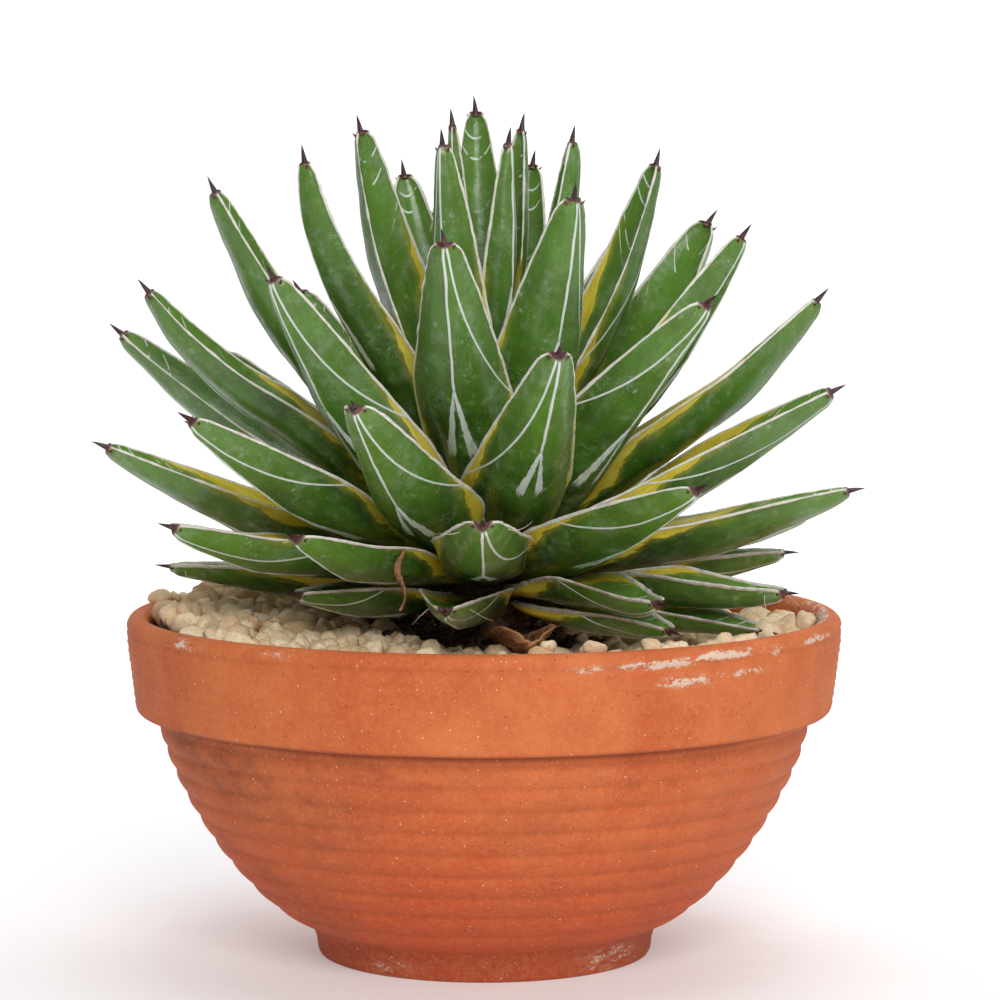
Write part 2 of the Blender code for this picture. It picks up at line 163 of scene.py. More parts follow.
def turned_faces(steps: int, count: int) -> list[Sequence[int]]:
    """Faces of a turned solid whose profile starts and ends close to the axis.

    Args:
        steps: Number of profiles round the axis.
        count: Number of points in each profile.

    Returns:
        The four-cornered faces of the side, then the two ends.
    """
    faces = []
    for sector in range(steps):
        after = (sector + 1) % steps
        for i in range(count - 1):
            faces.append((sector * count + i, sector * count + i + 1,
                          after * count + i + 1, after * count + i))
    faces.append([sector * count for sector in range(steps)][::-1])
    faces.append([sector * count + count - 1 for sector in range(steps)])
    return faces


def random_vector(chance: random.Random) -> Vector:
    """Vector that points any way, drawn from a source of chance."""
    return Vector((chance.gauss(0, 1), chance.gauss(0, 1), chance.gauss(0, 1)))


@dataclass
class LooseParts:
    """Many loose parts that are gathered into one mesh."""

    verts: list[Sequence[float]] = field(default_factory=list)
    faces: list[list[int]] = field(default_factory=list)

    def add(self, points: np.ndarray, faces: np.ndarray) -> None:
        """Add one part.

        Args:
            points: Its points.
            faces: Its faces, numbered from its own first point.
        """
        self.faces += (np.asarray(faces) + len(self.verts)).tolist()
        self.verts += np.asarray(points).tolist()


# ------------------------------------------------------------------ node drawing
class NodeSheet:
    """Draws shader nodes: every method adds one node and returns its main output."""

    def __init__(self, tree: bpy.types.NodeTree) -> None:
        """Start on a node tree.

        Args:
            tree: The tree to draw in.
        """
        self.tree = tree

    def node(self, kind: str, **settings: object) -> bpy.types.Node:
        """Add a node.

        Args:
            kind: Blender's name of the node type.
            **settings: Properties of the node to set.

        Returns:
            The node.
        """
        made = self.tree.nodes.new(kind)
        for key, value in settings.items():
            setattr(made, key, value)
        return made

    def feed(self, socket: Socket, value: Value) -> None:
        """Link a socket to another, or set its value.

        Args:
            socket: The input.
            value: An output socket, a number, a vector or a colour.
        """
        if isinstance(value, bpy.types.NodeSocket):
            self.tree.links.new(value, socket)
        else:
            socket.default_value = value

    def math(self, operation: str, first: Value, second: Value = 0.0,
             third: Value = 0.0) -> Socket:
        """Add a Math node.

        Args:
            operation: Blender's name of the operation.
            first: First number.
            second: Second number, where the operation has one.
            third: Third number, where the operation has one.

        Returns:
            The result.
        """
        made = self.node("ShaderNodeMath", operation=operation)
        for socket, value in zip(made.inputs, (first, second, third)):
            self.feed(socket, value)
        return made.outputs[0]

    def times(self, first: Value, second: Value) -> Socket:
        """Multiply two numbers."""
        return self.math("MULTIPLY", first, second)

    def plus(self, first: Value, second: Value) -> Socket:
        """Add two numbers."""
        return self.math("ADD", first, second)

    def minus(self, first: Value, second: Value) -> Socket:
        """Take the second number from the first."""
        return self.math("SUBTRACT", first, second)

    def scaled(self, value: Value, factor: Value, offset: Value) -> Socket:
        """Multiply a number by a factor, then add an offset."""
        return self.math("MULTIPLY_ADD", value, factor, offset)

    def size_of(self, value: Value) -> Socket:
        """Drop the sign of a number."""
        return self.math("ABSOLUTE", value)

    def ramp(self, value: Value, low: Value, high: Value, to_low: float = 0.0,
             to_high: float = 1.0) -> Socket:
        """Smooth step from one number to another.

        Args:
            value: The number to look at.
            low: Where the step starts.
            high: Where it ends.
            to_low: Result at and before the start.
            to_high: Result at and after the end.

        Returns:
            The result.
        """
        made = self.node("ShaderNodeMapRange", interpolation_type="SMOOTHSTEP")
        for socket, number in zip(made.inputs, (value, low, high, to_low, to_high)):
            self.feed(socket, number)
        return made.outputs[0]

    def noise(self, vector: Socket, scale: Value, detail: float = 3.0,
              rough: float = 0.55, distortion: float = 0.0) -> Socket:
        """Add a Noise Texture.

        Args:
            vector: Where to sample it.
            scale: How fine it is.
            detail: Number of octaves.
            rough: How strong the fine octaves are.
            distortion: How much it is swirled.

        Returns:
            The noise, from 0 to 1 with its middle near 0.5.
        """
        made = self.node("ShaderNodeTexNoise")
        self.feed(made.inputs["Vector"], vector)
        self.feed(made.inputs["Scale"], scale)
        made.inputs["Detail"].default_value = detail
        made.inputs["Roughness"].default_value = rough
        made.inputs["Distortion"].default_value = distortion
        return made.outputs["Fac"]

    def cells(self, vector: Socket, scale: Value, feature: str = "F1") -> bpy.types.Node:
        """Add a Voronoi Texture.

        Args:
            vector: Where to sample it.
            scale: How fine it is.
            feature: Blender's name of the feature.

        Returns:
            The node, with its Distance and Color outputs.
        """
        made = self.node("ShaderNodeTexVoronoi", feature=feature)
        self.feed(made.inputs["Vector"], vector)
        self.feed(made.inputs["Scale"], scale)
        return made

    def tinted(self, color: Value, mask: Socket, strength: float, tint: Color) -> Socket:
        """Lay a tint over a colour.

        Args:
            color: The colour below.
            mask: Where the tint lies, from 0 to 1.
            strength: How much of it shows where the mask is full.
            tint: The tint, as a screen colour.

        Returns:
            The colour.
        """
        return self.blend(self.times(mask, strength), color, srgb(*tint))

    def blend(self, share: Value, first: Value, second: Value,
              mode: str = "MIX") -> Socket:
        """Mix two colours.

        Args:
            share: How much of the second colour.
            first: First colour.
            second: Second colour.
            mode: Blender's name of the blend.

        Returns:
            The mixed colour.
        """
        made = self.node("ShaderNodeMix", data_type="RGBA", blend_type=mode)
        self.feed(made.inputs[0], share)
        self.feed(made.inputs[6], first)
        self.feed(made.inputs[7], second)
        return made.outputs[2]

    def vector(self, x: Value, y: Value, z: Value) -> Socket:
        """Join three numbers to a vector.

        Args:
            x: First number.
            y: Second number.
            z: Third number.

        Returns:
            The vector.
        """
        made = self.node("ShaderNodeCombineXYZ")
        for socket, number in zip(made.inputs, (x, y, z)):
            self.feed(socket, number)
        return made.outputs[0]

    def stretched(self, vector: Socket, scale: tuple[float, float, float]) -> Socket:
        """Scale a vector by a number for each axis.

        Args:
            vector: The vector.
            scale: The three numbers.

        Returns:
            The scaled vector.
        """
        made = self.node("ShaderNodeVectorMath", operation="MULTIPLY")
        self.feed(made.inputs[0], vector)
        made.inputs[1].default_value = scale
        return made.outputs[0]

    def attribute(self, name: str) -> Socket:
        """Read a number stored on the mesh.

        Args:
            name: Name of the attribute.

        Returns:
            The number.
        """
        return self.node("ShaderNodeAttribute", attribute_name=name).outputs["Fac"]

    def place(self) -> Socket:
        """The place on the object, in metres."""
        return self.node("ShaderNodeTexCoord").outputs["Object"]

    def bump(self, height: Socket, strength: float, depth: float,
             normal: Optional[Socket] = None) -> Socket:
        """Add a Bump node.

        Args:
            height: The height, from 0 to 1.
            strength: How strong the effect is.
            depth: Depth of the relief in metres.
            normal: An earlier bump's result to build on.

        Returns:
            The bent normal.
        """
        made = self.node("ShaderNodeBump")
        made.inputs["Strength"].default_value = strength
        made.inputs["Distance"].default_value = depth
        self.feed(made.inputs["Height"], height)
        if normal is not None:
            self.feed(made.inputs["Normal"], normal)
        return made.outputs["Normal"]


class GroupName(Enum):
    """The shader effects that more than one finish uses."""

    MOTTLE = "mottle"
    FLECKS = "flecks"
    GRAIN = "grain"


class SharedEffects:
    """Builds each shared effect once, as a node group, and places it in materials."""

    def __init__(self) -> None:
        """Build all the groups."""
        self.groups: dict[GroupName, bpy.types.NodeTree] = {}
        self._build(GroupName.MOTTLE, ("Scale", "Low", "High"), self._draw_mottle)
        self._build(GroupName.FLECKS, ("Scale", "Size", "Share"), self._draw_flecks)
        self._build(GroupName.GRAIN, ("Scale",), self._draw_grain)

    def _build(self, name: GroupName, values: Sequence[str],
               draw: Callable[[NodeSheet, bpy.types.Node], Socket]) -> None:
        """Make one group.

        Args:
            name: Which effect it is.
            values: Names of its number inputs, after the place.
            draw: Function that draws the nodes and returns the mask.
        """
        tree = bpy.data.node_groups.new(name.value, "ShaderNodeTree")
        tree.interface.new_socket("Place", in_out="INPUT", socket_type="NodeSocketVector")
        for value in values:
            tree.interface.new_socket(value, in_out="INPUT", socket_type="NodeSocketFloat")
        tree.interface.new_socket("Mask", in_out="OUTPUT", socket_type="NodeSocketFloat")
        sheet = NodeSheet(tree)
        entry, leave = sheet.node("NodeGroupInput"), sheet.node("NodeGroupOutput")
        sheet.feed(leave.inputs["Mask"], draw(sheet, entry))
        self.groups[name] = tree

    @staticmethod
    def _draw_mottle(sheet: NodeSheet, entry: bpy.types.Node) -> Socket:
        """Soft-edged blotches in two sizes, one swirled by the other.

        Args:
            sheet: Where to draw.
            entry: The group's inputs.

        Returns:
            The mask, from 0 to 1.
        """
        coarse = sheet.noise(entry.outputs["Place"], entry.outputs["Scale"], 4.0, 0.6, 0.4)
        finer = sheet.times(entry.outputs["Scale"], 3.7)
        fine = sheet.noise(entry.outputs["Place"], finer, 3.0, 0.6)
        both = sheet.scaled(fine, 0.35, sheet.times(coarse, 0.65))
        return sheet.ramp(both, entry.outputs["Low"], entry.outputs["High"])

    @staticmethod
    def _draw_flecks(sheet: NodeSheet, entry: bpy.types.Node) -> Socket:
        """Small round specks of unlike size, kept only in a share of the cells.

        Args:
            sheet: Where to draw.
            entry: The group's inputs.

        Returns:
            The mask, from 0 to 1.
        """
        cells = sheet.cells(entry.outputs["Place"], entry.outputs["Scale"])
        split = sheet.node("ShaderNodeSeparateColor")
        sheet.feed(split.inputs[0], cells.outputs["Color"])
        chosen = sheet.math("LESS_THAN", split.outputs[0], entry.outputs["Share"])
        size = sheet.times(entry.outputs["Size"], sheet.scaled(split.outputs[1], 0.8, 0.4))
        edge = sheet.times(size, 1.5)
        speck = sheet.ramp(cells.outputs["Distance"], size, edge, 1.0, 0.0)
        return sheet.times(speck, chosen)

    @staticmethod
    def _draw_grain(sheet: NodeSheet, entry: bpy.types.Node) -> Socket:
        """Fine rough grain with some coarser lumps in it.

        Args:
            sheet: Where to draw.
            entry: The group's inputs.

        Returns:
            The grain, from 0 to 1.
        """
        fine = sheet.noise(entry.outputs["Place"], entry.outputs["Scale"], 6.0, 0.7)
        coarse = sheet.noise(entry.outputs["Place"], sheet.times(entry.outputs["Scale"], 0.22),
                             3.0, 0.5)
        return sheet.scaled(fine, 0.6, sheet.times(coarse, 0.4))

    def use(self, sheet: NodeSheet, name: GroupName, place: Socket,
            **values: Value) -> Socket:
        """Place an effect in a material.

        Args:
            sheet: Where to draw.
            name: Which effect.
            place: Where on the surface it is sampled.
            **values: Its numbers, by input name.

        Returns:
            The effect's mask.
        """
        made = sheet.node("ShaderNodeGroup", node_tree=self.groups[name])
        sheet.feed(made.inputs["Place"], place)
        for key, value in values.items():
            sheet.feed(made.inputs[key], value)
        return made.outputs["Mask"]

    def mottle(self, sheet: NodeSheet, place: Socket, scale: float, low: float,
               high: float) -> Socket:
        """Place soft-edged blotches in a material.

        Args:
            sheet: Where to draw.
            place: Where on the surface it is sampled.
            scale: How fine they are.
            low: Strength at which a blotch begins to show.
            high: Strength at which it is full.

        Returns:
            The mask, from 0 to 1.
        """
        return self.use(sheet, GroupName.MOTTLE, place, Scale=scale, Low=low, High=high)

    def flecks(self, sheet: NodeSheet, place: Socket, scale: float, size: float,
               share: float) -> Socket:
        """Place small round specks in a material.

        Args:
            sheet: Where to draw.
            place: Where on the surface it is sampled.
            scale: How close together they are.
            size: Size of a speck as a share of its cell.
            share: Share of the cells that hold one.

        Returns:
            The mask, from 0 to 1.
        """
        return self.use(sheet, GroupName.FLECKS, place, Scale=scale, Size=size, Share=share)


def new_material(name: str) -> tuple[bpy.types.Material, NodeSheet, bpy.types.Node]:
    """Start a material.

    Args:
        name: Its name.

    Returns:
        The material, a sheet to draw in, and its Principled shader.
    """
    material = bpy.data.materials.new(name)
    material.use_nodes = True
    sheet = NodeSheet(material.node_tree)
    return material, sheet, material.node_tree.nodes["Principled BSDF"]


# ------------------------------------------------------------------ finishes
@dataclass(frozen=True)
class TerracottaFinish:
    """Unglazed fired clay with kiln colouring, grog specks, pits and lime, and with painted shade
    on its upper left side and in its creases.
    """

    body: Color = (196, 92, 48)
    pale: Color = (214, 116, 64)
    # burnt: dark clay for the worn streaks, also used as painted shade on the upper left side
    burnt_and_shade: Color = (128, 62, 42)
    fired: Color = (196, 78, 38)
    # darker towards the foot
    foot_dark: Color = (150, 62, 38)
    lime: Color = (230, 207, 186)
    # crease: painted shade for the collar's underside, the grooves between the throwing rings and
    # the groove below the lip
    crease: Color = (96, 42, 26)
    haze: Color = (222, 168, 140)
    warm: Color = (236, 156, 104)
    sand: Color = (240, 190, 150)
    grog: Color = (240, 218, 196)
    pit: Color = (84, 38, 24)

    def material(self, effects: SharedEffects) -> bpy.types.Material:
        """Draw the material.

        Args:
            effects: The shared effects.

        Returns:
            The material, which reads the attributes lime, crease (painted shade in creases and
            grooves) and the painted shade with kiln marks on the upper left side.
        """
        material, sheet, shader = new_material("terracotta")
        place = sheet.place()
        color, fine, pits = self._clay(sheet, effects, place)
        crust = sheet.noise(place, 900.0, 5.0, 0.80, 0.2)
        patch = sheet.noise(sheet.stretched(place, (1.0, 1.0, 2.6)), 170.0, 4.0, 0.70)
        amount = sheet.attribute("lime")
        level = sheet.scaled(amount, -0.24, 0.71)
        both = sheet.scaled(patch, 0.48, sheet.times(crust, 0.52))
        lime = sheet.ramp(both, level, sheet.plus(level, 0.05))
        lime = sheet.times(lime, sheet.ramp(amount, 0.04, 0.3))
        haze = sheet.times(sheet.ramp(amount, 0.1, 1.0), 0.30)
        haze = sheet.times(haze, sheet.ramp(patch, 0.40, 0.62))
        color = sheet.blend(haze, color, srgb(*self.haze))
        color = sheet.tinted(color, lime, 0.86, self.lime)
        # painted shade: the crease attribute darkens the collar's underside, the ring grooves and
        # the groove below the lip
        crease = sheet.times(sheet.attribute("crease"), 0.75)
        color = sheet.blend(crease, color, srgb(*self.crease))
        sheet.feed(shader.inputs["Base Color"], color)
        sheet.feed(shader.inputs["Roughness"], sheet.ramp(fine, 0.0, 1.0, 0.70, 0.88))
        shader.inputs["Specular IOR Level"].default_value = 0.30
        grain = effects.use(sheet, GroupName.GRAIN, place, Scale=1300.0)
        coarse = sheet.noise(place, 300.0, 4.0, 0.65)
        relief = sheet.scaled(coarse, 0.6, grain)
        relief = sheet.minus(relief, sheet.times(pits, 0.9))
        relief = sheet.scaled(lime, 0.4, relief)
        sheet.feed(shader.inputs["Normal"], sheet.bump(relief, 0.55, 0.00040))
        return material

    def _clay(self, sheet: NodeSheet, effects: SharedEffects,
              place: Socket) -> tuple[Socket, Socket, Socket]:
        """Fired clay before the lime: its colour, with painted shade on the upper left side, its
        fine mottle and its pits.

        Args:
            sheet: Where to draw.
            effects: The shared effects.
            place: Where on the surface.

        Returns:
            The colour, the mottle and the pits.
        """
        axes = sheet.node("ShaderNodeSeparateXYZ")
        sheet.feed(axes.inputs[0], place)
        height = axes.outputs[2]
        cloud = effects.mottle(sheet, place, 16.0, 0.36, 0.66)
        color = sheet.blend(cloud, srgb(*self.body), srgb(*self.pale))
        collar = sheet.ramp(height, 0.088, 0.097)
        below = sheet.minus(1.0, collar)
        color = sheet.tinted(color, below, 0.22, self.fired)
        low = sheet.ramp(height, 0.075, 0.022, 0.0, 0.72)
        color = sheet.blend(low, color, srgb(*self.fired))
        # darker towards the foot
        foot = sheet.ramp(height, 0.018, 0.006, 0.0, 0.65)
        color = sheet.blend(foot, color, srgb(*self.foot_dark))
        streak = effects.mottle(sheet, sheet.stretched(place, (1.0, 1.0, 1.8)), 26.0, 0.42, 0.66)
        # painted shade on the upper left of the body, away from the key light, broken into
        # streaks like kiln marks
        left_shade = sheet.times(sheet.attribute("left_shade_and_flash"), sheet.scaled(streak, 0.55, 0.30))
        color = sheet.blend(left_shade, color, srgb(*self.burnt_and_shade))
        worn = sheet.times(sheet.times(streak, below), 0.24)
        color = sheet.blend(worn, color, srgb(*self.burnt_and_shade))
        fine = effects.mottle(sheet, place, 430.0, 0.38, 0.66)
        color = sheet.tinted(color, fine, 0.20, self.warm)
        sand = effects.flecks(sheet, place, 1400.0, 0.24, 0.22)
        color = sheet.tinted(color, sand, 0.30, self.sand)
        grog = effects.flecks(sheet, place, 620.0, 0.13, 0.10)
        color = sheet.tinted(color, grog, 0.75, self.grog)
        pits = effects.flecks(sheet, place, 760.0, 0.17, 0.10)
        color = sheet.tinted(color, pits, 0.65, self.pit)
        return color, fine, pits


@dataclass(frozen=True)
class LeafSpot:
    """Everything that the leaf's finish knows about the spot that it colours.

    Lengths are in millimetres over the skin: tip from the spine's root, inset from the
    nearer margin, middle (signed) and aside from the keel or the channel's bottom.
    """

    sheet: NodeSheet
    effects: SharedEffects
    place: Socket
    skin: Socket
    tip: Socket
    inset: Socket
    middle: Socket
    aside: Socket
    length: Socket
    along: Socket
    outer: Socket
    seed: Socket
    age: Socket


@dataclass(frozen=True)
class LeafFinish:
    """Waxy green skin with yellow bands, horny white margins and white bud prints."""

    deep: Color = (30, 58, 18)
    green: Color = (72, 118, 34)
    fresh: Color = (110, 154, 50)
    wax: Color = (172, 188, 158)
    yellow: Color = (206, 182, 40)
    lemon: Color = (228, 212, 88)
    horn: Color = (232, 230, 220)
    print_white: Color = (216, 224, 218)
    worn: Color = (120, 92, 80)
    stain: Color = (168, 142, 120)
    fringe: Color = (142, 122, 96)
    cap: Color = (150, 104, 84)
    spine_root: Color = (72, 36, 34)
    shade: Color = (28, 44, 22)
    drop: Color = (172, 186, 164)
    dot: Color = (186, 196, 170)
    scratch: Color = (200, 208, 190)

    def material(self, effects: SharedEffects) -> bpy.types.Material:
        """Draw the material.

        The mesh gives, in millimetres: tip_mm, the distance from the spine's root; edge_mm,
        the distance over the skin from the nearer margin, negative in the channel; and
        mid_mm, the signed distance over the skin from the keel or the channel's bottom.
        It also gives length_mm, seed and age.

        Args:
            effects: The shared effects.

        Returns:
            The material.
        """
        material, sheet, shader = new_material("variegated_leaf")
        place = sheet.place()
        tip, edge = sheet.attribute("tip_mm"), sheet.attribute("edge_mm")
        middle, length = sheet.attribute("mid_mm"), sheet.attribute("length_mm")
        seed, age = sheet.attribute("seed"), sheet.attribute("age")
        inset = sheet.size_of(edge)
        aside = sheet.size_of(middle)
        outer = sheet.ramp(edge, -0.15, 0.15)
        along = sheet.math("DIVIDE", tip, length)
        skin = sheet.vector(sheet.times(middle, MM), sheet.times(tip, MM),
                            sheet.scaled(seed, 0.7, outer))
        spot = LeafSpot(sheet, effects, place, skin, tip, inset, middle, aside, length, along,
                        outer, seed, age)
        color = self._green(spot)
        yellow = self._yellow(spot)
        tone = effects.mottle(sheet, sheet.stretched(skin, (1.0, 0.12, 1.0)), 420.0, 0.35, 0.68)
        gold = sheet.blend(tone, srgb(*self.yellow), srgb(*self.lemon))
        color = sheet.blend(yellow, color, gold)
        prints = self._prints(spot)
        color = sheet.blend(prints, color, srgb(*self.print_white))
        horn = self._horn(spot)
        worn = effects.mottle(sheet, place, 260.0, 0.42, 0.62)
        old = sheet.times(sheet.times(worn, age), 0.30)
        rim = sheet.blend(old, srgb(*self.horn), srgb(*self.worn))
        stain = effects.mottle(sheet, place, 330.0, 0.48, 0.64)
        rim = sheet.tinted(rim, stain, 0.42, self.stain)
        fringe = sheet.ramp(inset, 0.35, 1.1, 0.0, 0.30)
        rim = sheet.blend(fringe, rim, srgb(*self.fringe))
        color = sheet.blend(horn, color, rim)
        cap = sheet.ramp(sheet.scaled(sheet.noise(place, 700.0, 2.0), 1.4, tip), 1.3, 2.1, 0.85,
                         0.0)
        color = sheet.blend(cap, color, srgb(*self.cap))
        dark = sheet.ramp(tip, 0.2, 1.1, 1.0, 0.0)
        color = sheet.blend(dark, color, srgb(*self.spine_root))
        sheet.feed(shader.inputs["Base Color"], color)
        gloss = effects.mottle(sheet, place, 90.0, 0.3, 0.7)
        rough = sheet.ramp(gloss, 0.0, 1.0, 0.25, 0.43)
        pale = sheet.math("MAXIMUM", horn, prints)
        sheet.feed(shader.inputs["Roughness"], sheet.scaled(pale, 0.16, rough))
        shader.inputs["Specular IOR Level"].default_value = 0.55
        shader.inputs["Coat Weight"].default_value = 0.12
        shader.inputs["Coat Roughness"].default_value = 0.22
        shader.inputs["Subsurface Weight"].default_value = 0.04
        shader.inputs["Subsurface Radius"].default_value = (0.4, 1.0, 0.2)
        shader.inputs["Subsurface Scale"].default_value = 0.0015
        sheet.feed(shader.inputs["Normal"], self._relief(spot, horn, prints))
        return material

    def _green(self, spot: LeafSpot) -> Socket:
        """Green of the skin, brighter to the tip, with wax, scuffs and small specks.

        Args:
            spot: The spot on the leaf.

        Returns:
            The colour.
        """
        sheet, effects, place, along = spot.sheet, spot.effects, spot.place, spot.along
        broad = effects.mottle(sheet, place, 34.0, 0.34, 0.66)
        color = sheet.blend(broad, srgb(*self.deep), srgb(*self.green))
        young = sheet.times(sheet.ramp(along, 0.05, 0.75, 1.0, 0.0), 0.55)
        color = sheet.blend(young, color, srgb(*self.fresh))
        drawn_out = sheet.stretched(spot.skin, (1.0, 0.07, 1.0))
        fibre = effects.mottle(sheet, drawn_out, 700.0, 0.36, 0.66)
        color = sheet.tinted(color, fibre, 0.22, self.deep)
        shade = sheet.times(sheet.ramp(along, 0.55, 1.0), 0.55)
        color = sheet.blend(shade, color, srgb(*self.shade))
        wax = effects.mottle(sheet, place, 95.0, 0.48, 0.70)
        color = sheet.tinted(color, wax, 0.27, self.wax)
        drops = effects.flecks(sheet, place, 230.0, 0.20, 0.30)
        drops = sheet.times(drops, sheet.scaled(wax, 0.55, 0.12))
        color = sheet.blend(drops, color, srgb(*self.drop))
        dots = effects.flecks(sheet, place, 800.0, 0.15, 0.20)
        color = sheet.tinted(color, dots, 0.45, self.dot)
        scratch = sheet.noise(place, 210.0, 3.0, 0.6, 1.8)
        line = sheet.ramp(sheet.size_of(sheet.minus(scratch, 0.5)), 0.004, 0.011, 1.0, 0.0)
        line = sheet.times(line, sheet.ramp(sheet.noise(place, 75.0, 2.0), 0.56, 0.64))
        color = sheet.tinted(color, line, 0.5, self.scratch)
        inner = sheet.times(sheet.minus(1.0, spot.outer), 0.18)
        return sheet.blend(inner, color, srgb(*self.fresh))

    @staticmethod
    def _yellow(spot: LeafSpot) -> Socket:
        """Yellow band beside the margin, toothed inside, widening from mid-leaf down.

        Args:
            spot: The spot on the leaf.

        Returns:
            How yellow the spot is, from 0 to 1.
        """
        sheet, skin, tip, outer = spot.sheet, spot.skin, spot.tip, spot.outer
        length = spot.length
        first = sheet.scaled(spot.seed, 0.18, sheet.scaled(outer, 0.13, 0.14))
        low = sheet.times(length, first)
        full = sheet.scaled(length, 0.36, low)
        widen = sheet.ramp(tip, low, full)
        most = sheet.scaled(outer, -3.2, 8.6)
        width = sheet.scaled(widen, most, 0.5)
        teeth = sheet.noise(sheet.stretched(skin, (1.0, 0.20, 1.0)), 900.0, 4.0, 0.68)
        coarse = sheet.noise(sheet.stretched(skin, (1.0, 0.45, 1.0)), 120.0, 2.0, 0.5)
        wander = sheet.plus(sheet.minus(teeth, 0.5), sheet.times(sheet.minus(coarse, 0.5), 2.4))
        reach = sheet.scaled(wander, sheet.scaled(widen, 3.6, 1.8), width)
        gap = sheet.minus(spot.inset, reach)
        seen = sheet.ramp(tip, sheet.minus(low, 4.0), sheet.plus(low, 3.0))
        halo = sheet.ramp(gap, 0.0, 3.0, 0.24, 0.0)
        core = sheet.ramp(gap, -0.25, 0.12, 1.0, 0.0)
        return sheet.times(sheet.math("MAXIMUM", core, halo), seen)

    @staticmethod
    def _prints(spot: LeafSpot) -> Socket:
        """White prints: the keel's line, its fork, a shoulder line and arched bars.

        Args:
            spot: The spot on the leaf.

        Returns:
            How white the spot is, from 0 to 1.
        """
        sheet, skin, tip, inset, seed = spot.sheet, spot.skin, spot.tip, spot.inset, spot.seed
        aside, middle, along, outer = spot.aside, spot.middle, spot.along, spot.outer
        brush = sheet.noise(sheet.stretched(skin, (1.0, 0.10, 1.0)), 1500.0, 3.0, 0.65)
        wobble = sheet.times(sheet.minus(sheet.noise(skin, 60.0, 2.0), 0.5), 1.6)
        fork = sheet.scaled(seed, 0.12, 0.33)
        past = sheet.minus(along, fork)
        keel = sheet.ramp(sheet.size_of(sheet.plus(middle, wobble)), 0.30, 0.62, 1.0, 0.0)
        keel = sheet.times(keel, sheet.ramp(past, -0.01, 0.02, 1.0, 0.0))
        spread = sheet.times(past, 19.0)
        off = sheet.size_of(sheet.minus(aside, spread))
        half = sheet.scaled(past, 7.0, 0.35)
        half = sheet.times(half, sheet.scaled(brush, 1.6, 0.2))
        arms = sheet.ramp(sheet.minus(off, half), -0.2, 0.15, 1.0, 0.0)
        ragged = sheet.scaled(brush, 0.10, past)
        end = sheet.scaled(seed, 0.06, 0.235)
        arms = sheet.times(arms, sheet.ramp(ragged, end, sheet.plus(end, 0.02), 1.0, 0.0))
        arms = sheet.times(arms, sheet.ramp(past, 0.0, 0.01))
        arms = sheet.times(arms, sheet.ramp(brush, 0.30, 0.44, 0.45, 1.0))
        share = sheet.math("DIVIDE", inset, sheet.plus(inset, aside))
        reach = sheet.scaled(seed, -0.15, 0.62)
        run = sheet.math("DIVIDE", along, reach)
        goal = sheet.scaled(sheet.math("POWER", run, 1.7), -0.80, 0.80)
        away = sheet.times(sheet.size_of(sheet.minus(share, goal)), sheet.plus(inset, aside))
        shoulder = sheet.ramp(sheet.plus(away, sheet.times(brush, 0.3)), 0.38, 0.72, 1.0, 0.0)
        shoulder = sheet.times(shoulder, sheet.ramp(run, 0.97, 1.0, 1.0, 0.0))
        turn = sheet.minus(sheet.math("FRACT", sheet.times(seed, 7.3)), 0.5)
        right = sheet.math("GREATER_THAN", sheet.times(middle, turn), 0.0)
        shoulder = sheet.times(shoulder, right)
        on_back = sheet.math("MAXIMUM", sheet.math("MAXIMUM", keel, arms), shoulder)
        on_back = sheet.times(on_back, outer)
        bow = sheet.scaled(sheet.times(aside, aside), 0.16, tip)
        step = sheet.scaled(seed, 9.0, 11.0)
        place_in = sheet.size_of(sheet.minus(sheet.math("PINGPONG", bow, step),
                                             sheet.times(step, 0.72)))
        bars = sheet.ramp(place_in, 0.30, 0.62, 1.0, 0.0)
        bars = sheet.times(bars, sheet.ramp(tip, 26.0, 44.0, 1.0, 0.0))
        broken = sheet.ramp(sheet.noise(skin, 210.0, 2.0), 0.44, 0.52)
        bars = sheet.times(bars, broken)
        inside = sheet.times(bars, sheet.minus(1.0, outer))
        return sheet.math("MAXIMUM", on_back, inside)

    @staticmethod
    def _horn(spot: LeafSpot) -> Socket:
        """White horny margin of unlike width, wider on old leaves and towards the base.

        Args:
            spot: The spot on the leaf.

        Returns:
            How horny the spot is, from 0 to 1.
        """
        sheet, tip, inset = spot.sheet, spot.tip, spot.inset
        uneven = sheet.noise(sheet.stretched(spot.skin, (0.2, 1.0, 1.0)), 150.0, 4.0, 0.65)
        width = sheet.scaled(uneven, 1.1, 0.02)
        width = sheet.scaled(spot.age, 0.60, width)
        width = sheet.scaled(tip, 0.0045, width)
        near = sheet.ramp(sheet.minus(inset, width), -0.10, 0.16, 1.0, 0.0)
        shoulders = sheet.ramp(sheet.scaled(inset, 0.5, tip), 1.2, 2.2, 1.0, 0.0)
        return sheet.math("MAXIMUM", near, shoulders)

    @staticmethod
    def _relief(spot: LeafSpot, horn: Socket, prints: Socket) -> Socket:
        """Shallow dents, fibres that wrinkle near the margins, and raised white parts.

        Args:
            spot: The spot on the leaf.
            horn: How horny the spot is.
            prints: How white its prints are.

        Returns:
            The bent normal.
        """
        sheet, place = spot.sheet, spot.place
        dents = sheet.noise(place, 95.0, 3.0, 0.55)
        normal = sheet.bump(dents, 0.35, 0.0016)
        fibres = sheet.noise(sheet.stretched(spot.skin, (1.0, 0.12, 1.0)), 900.0, 3.0, 0.6)
        near = sheet.ramp(spot.inset, 1.0, 7.0, 1.0, 0.25)
        wrinkles = sheet.times(fibres, near)
        raised = sheet.scaled(sheet.math("MAXIMUM", horn, prints), 0.8, wrinkles)
        grain = spot.effects.use(sheet, GroupName.GRAIN, place, Scale=1500.0)
        raised = sheet.scaled(grain, 0.25, raised)
        return sheet.bump(raised, 0.5, 0.00022, normal)


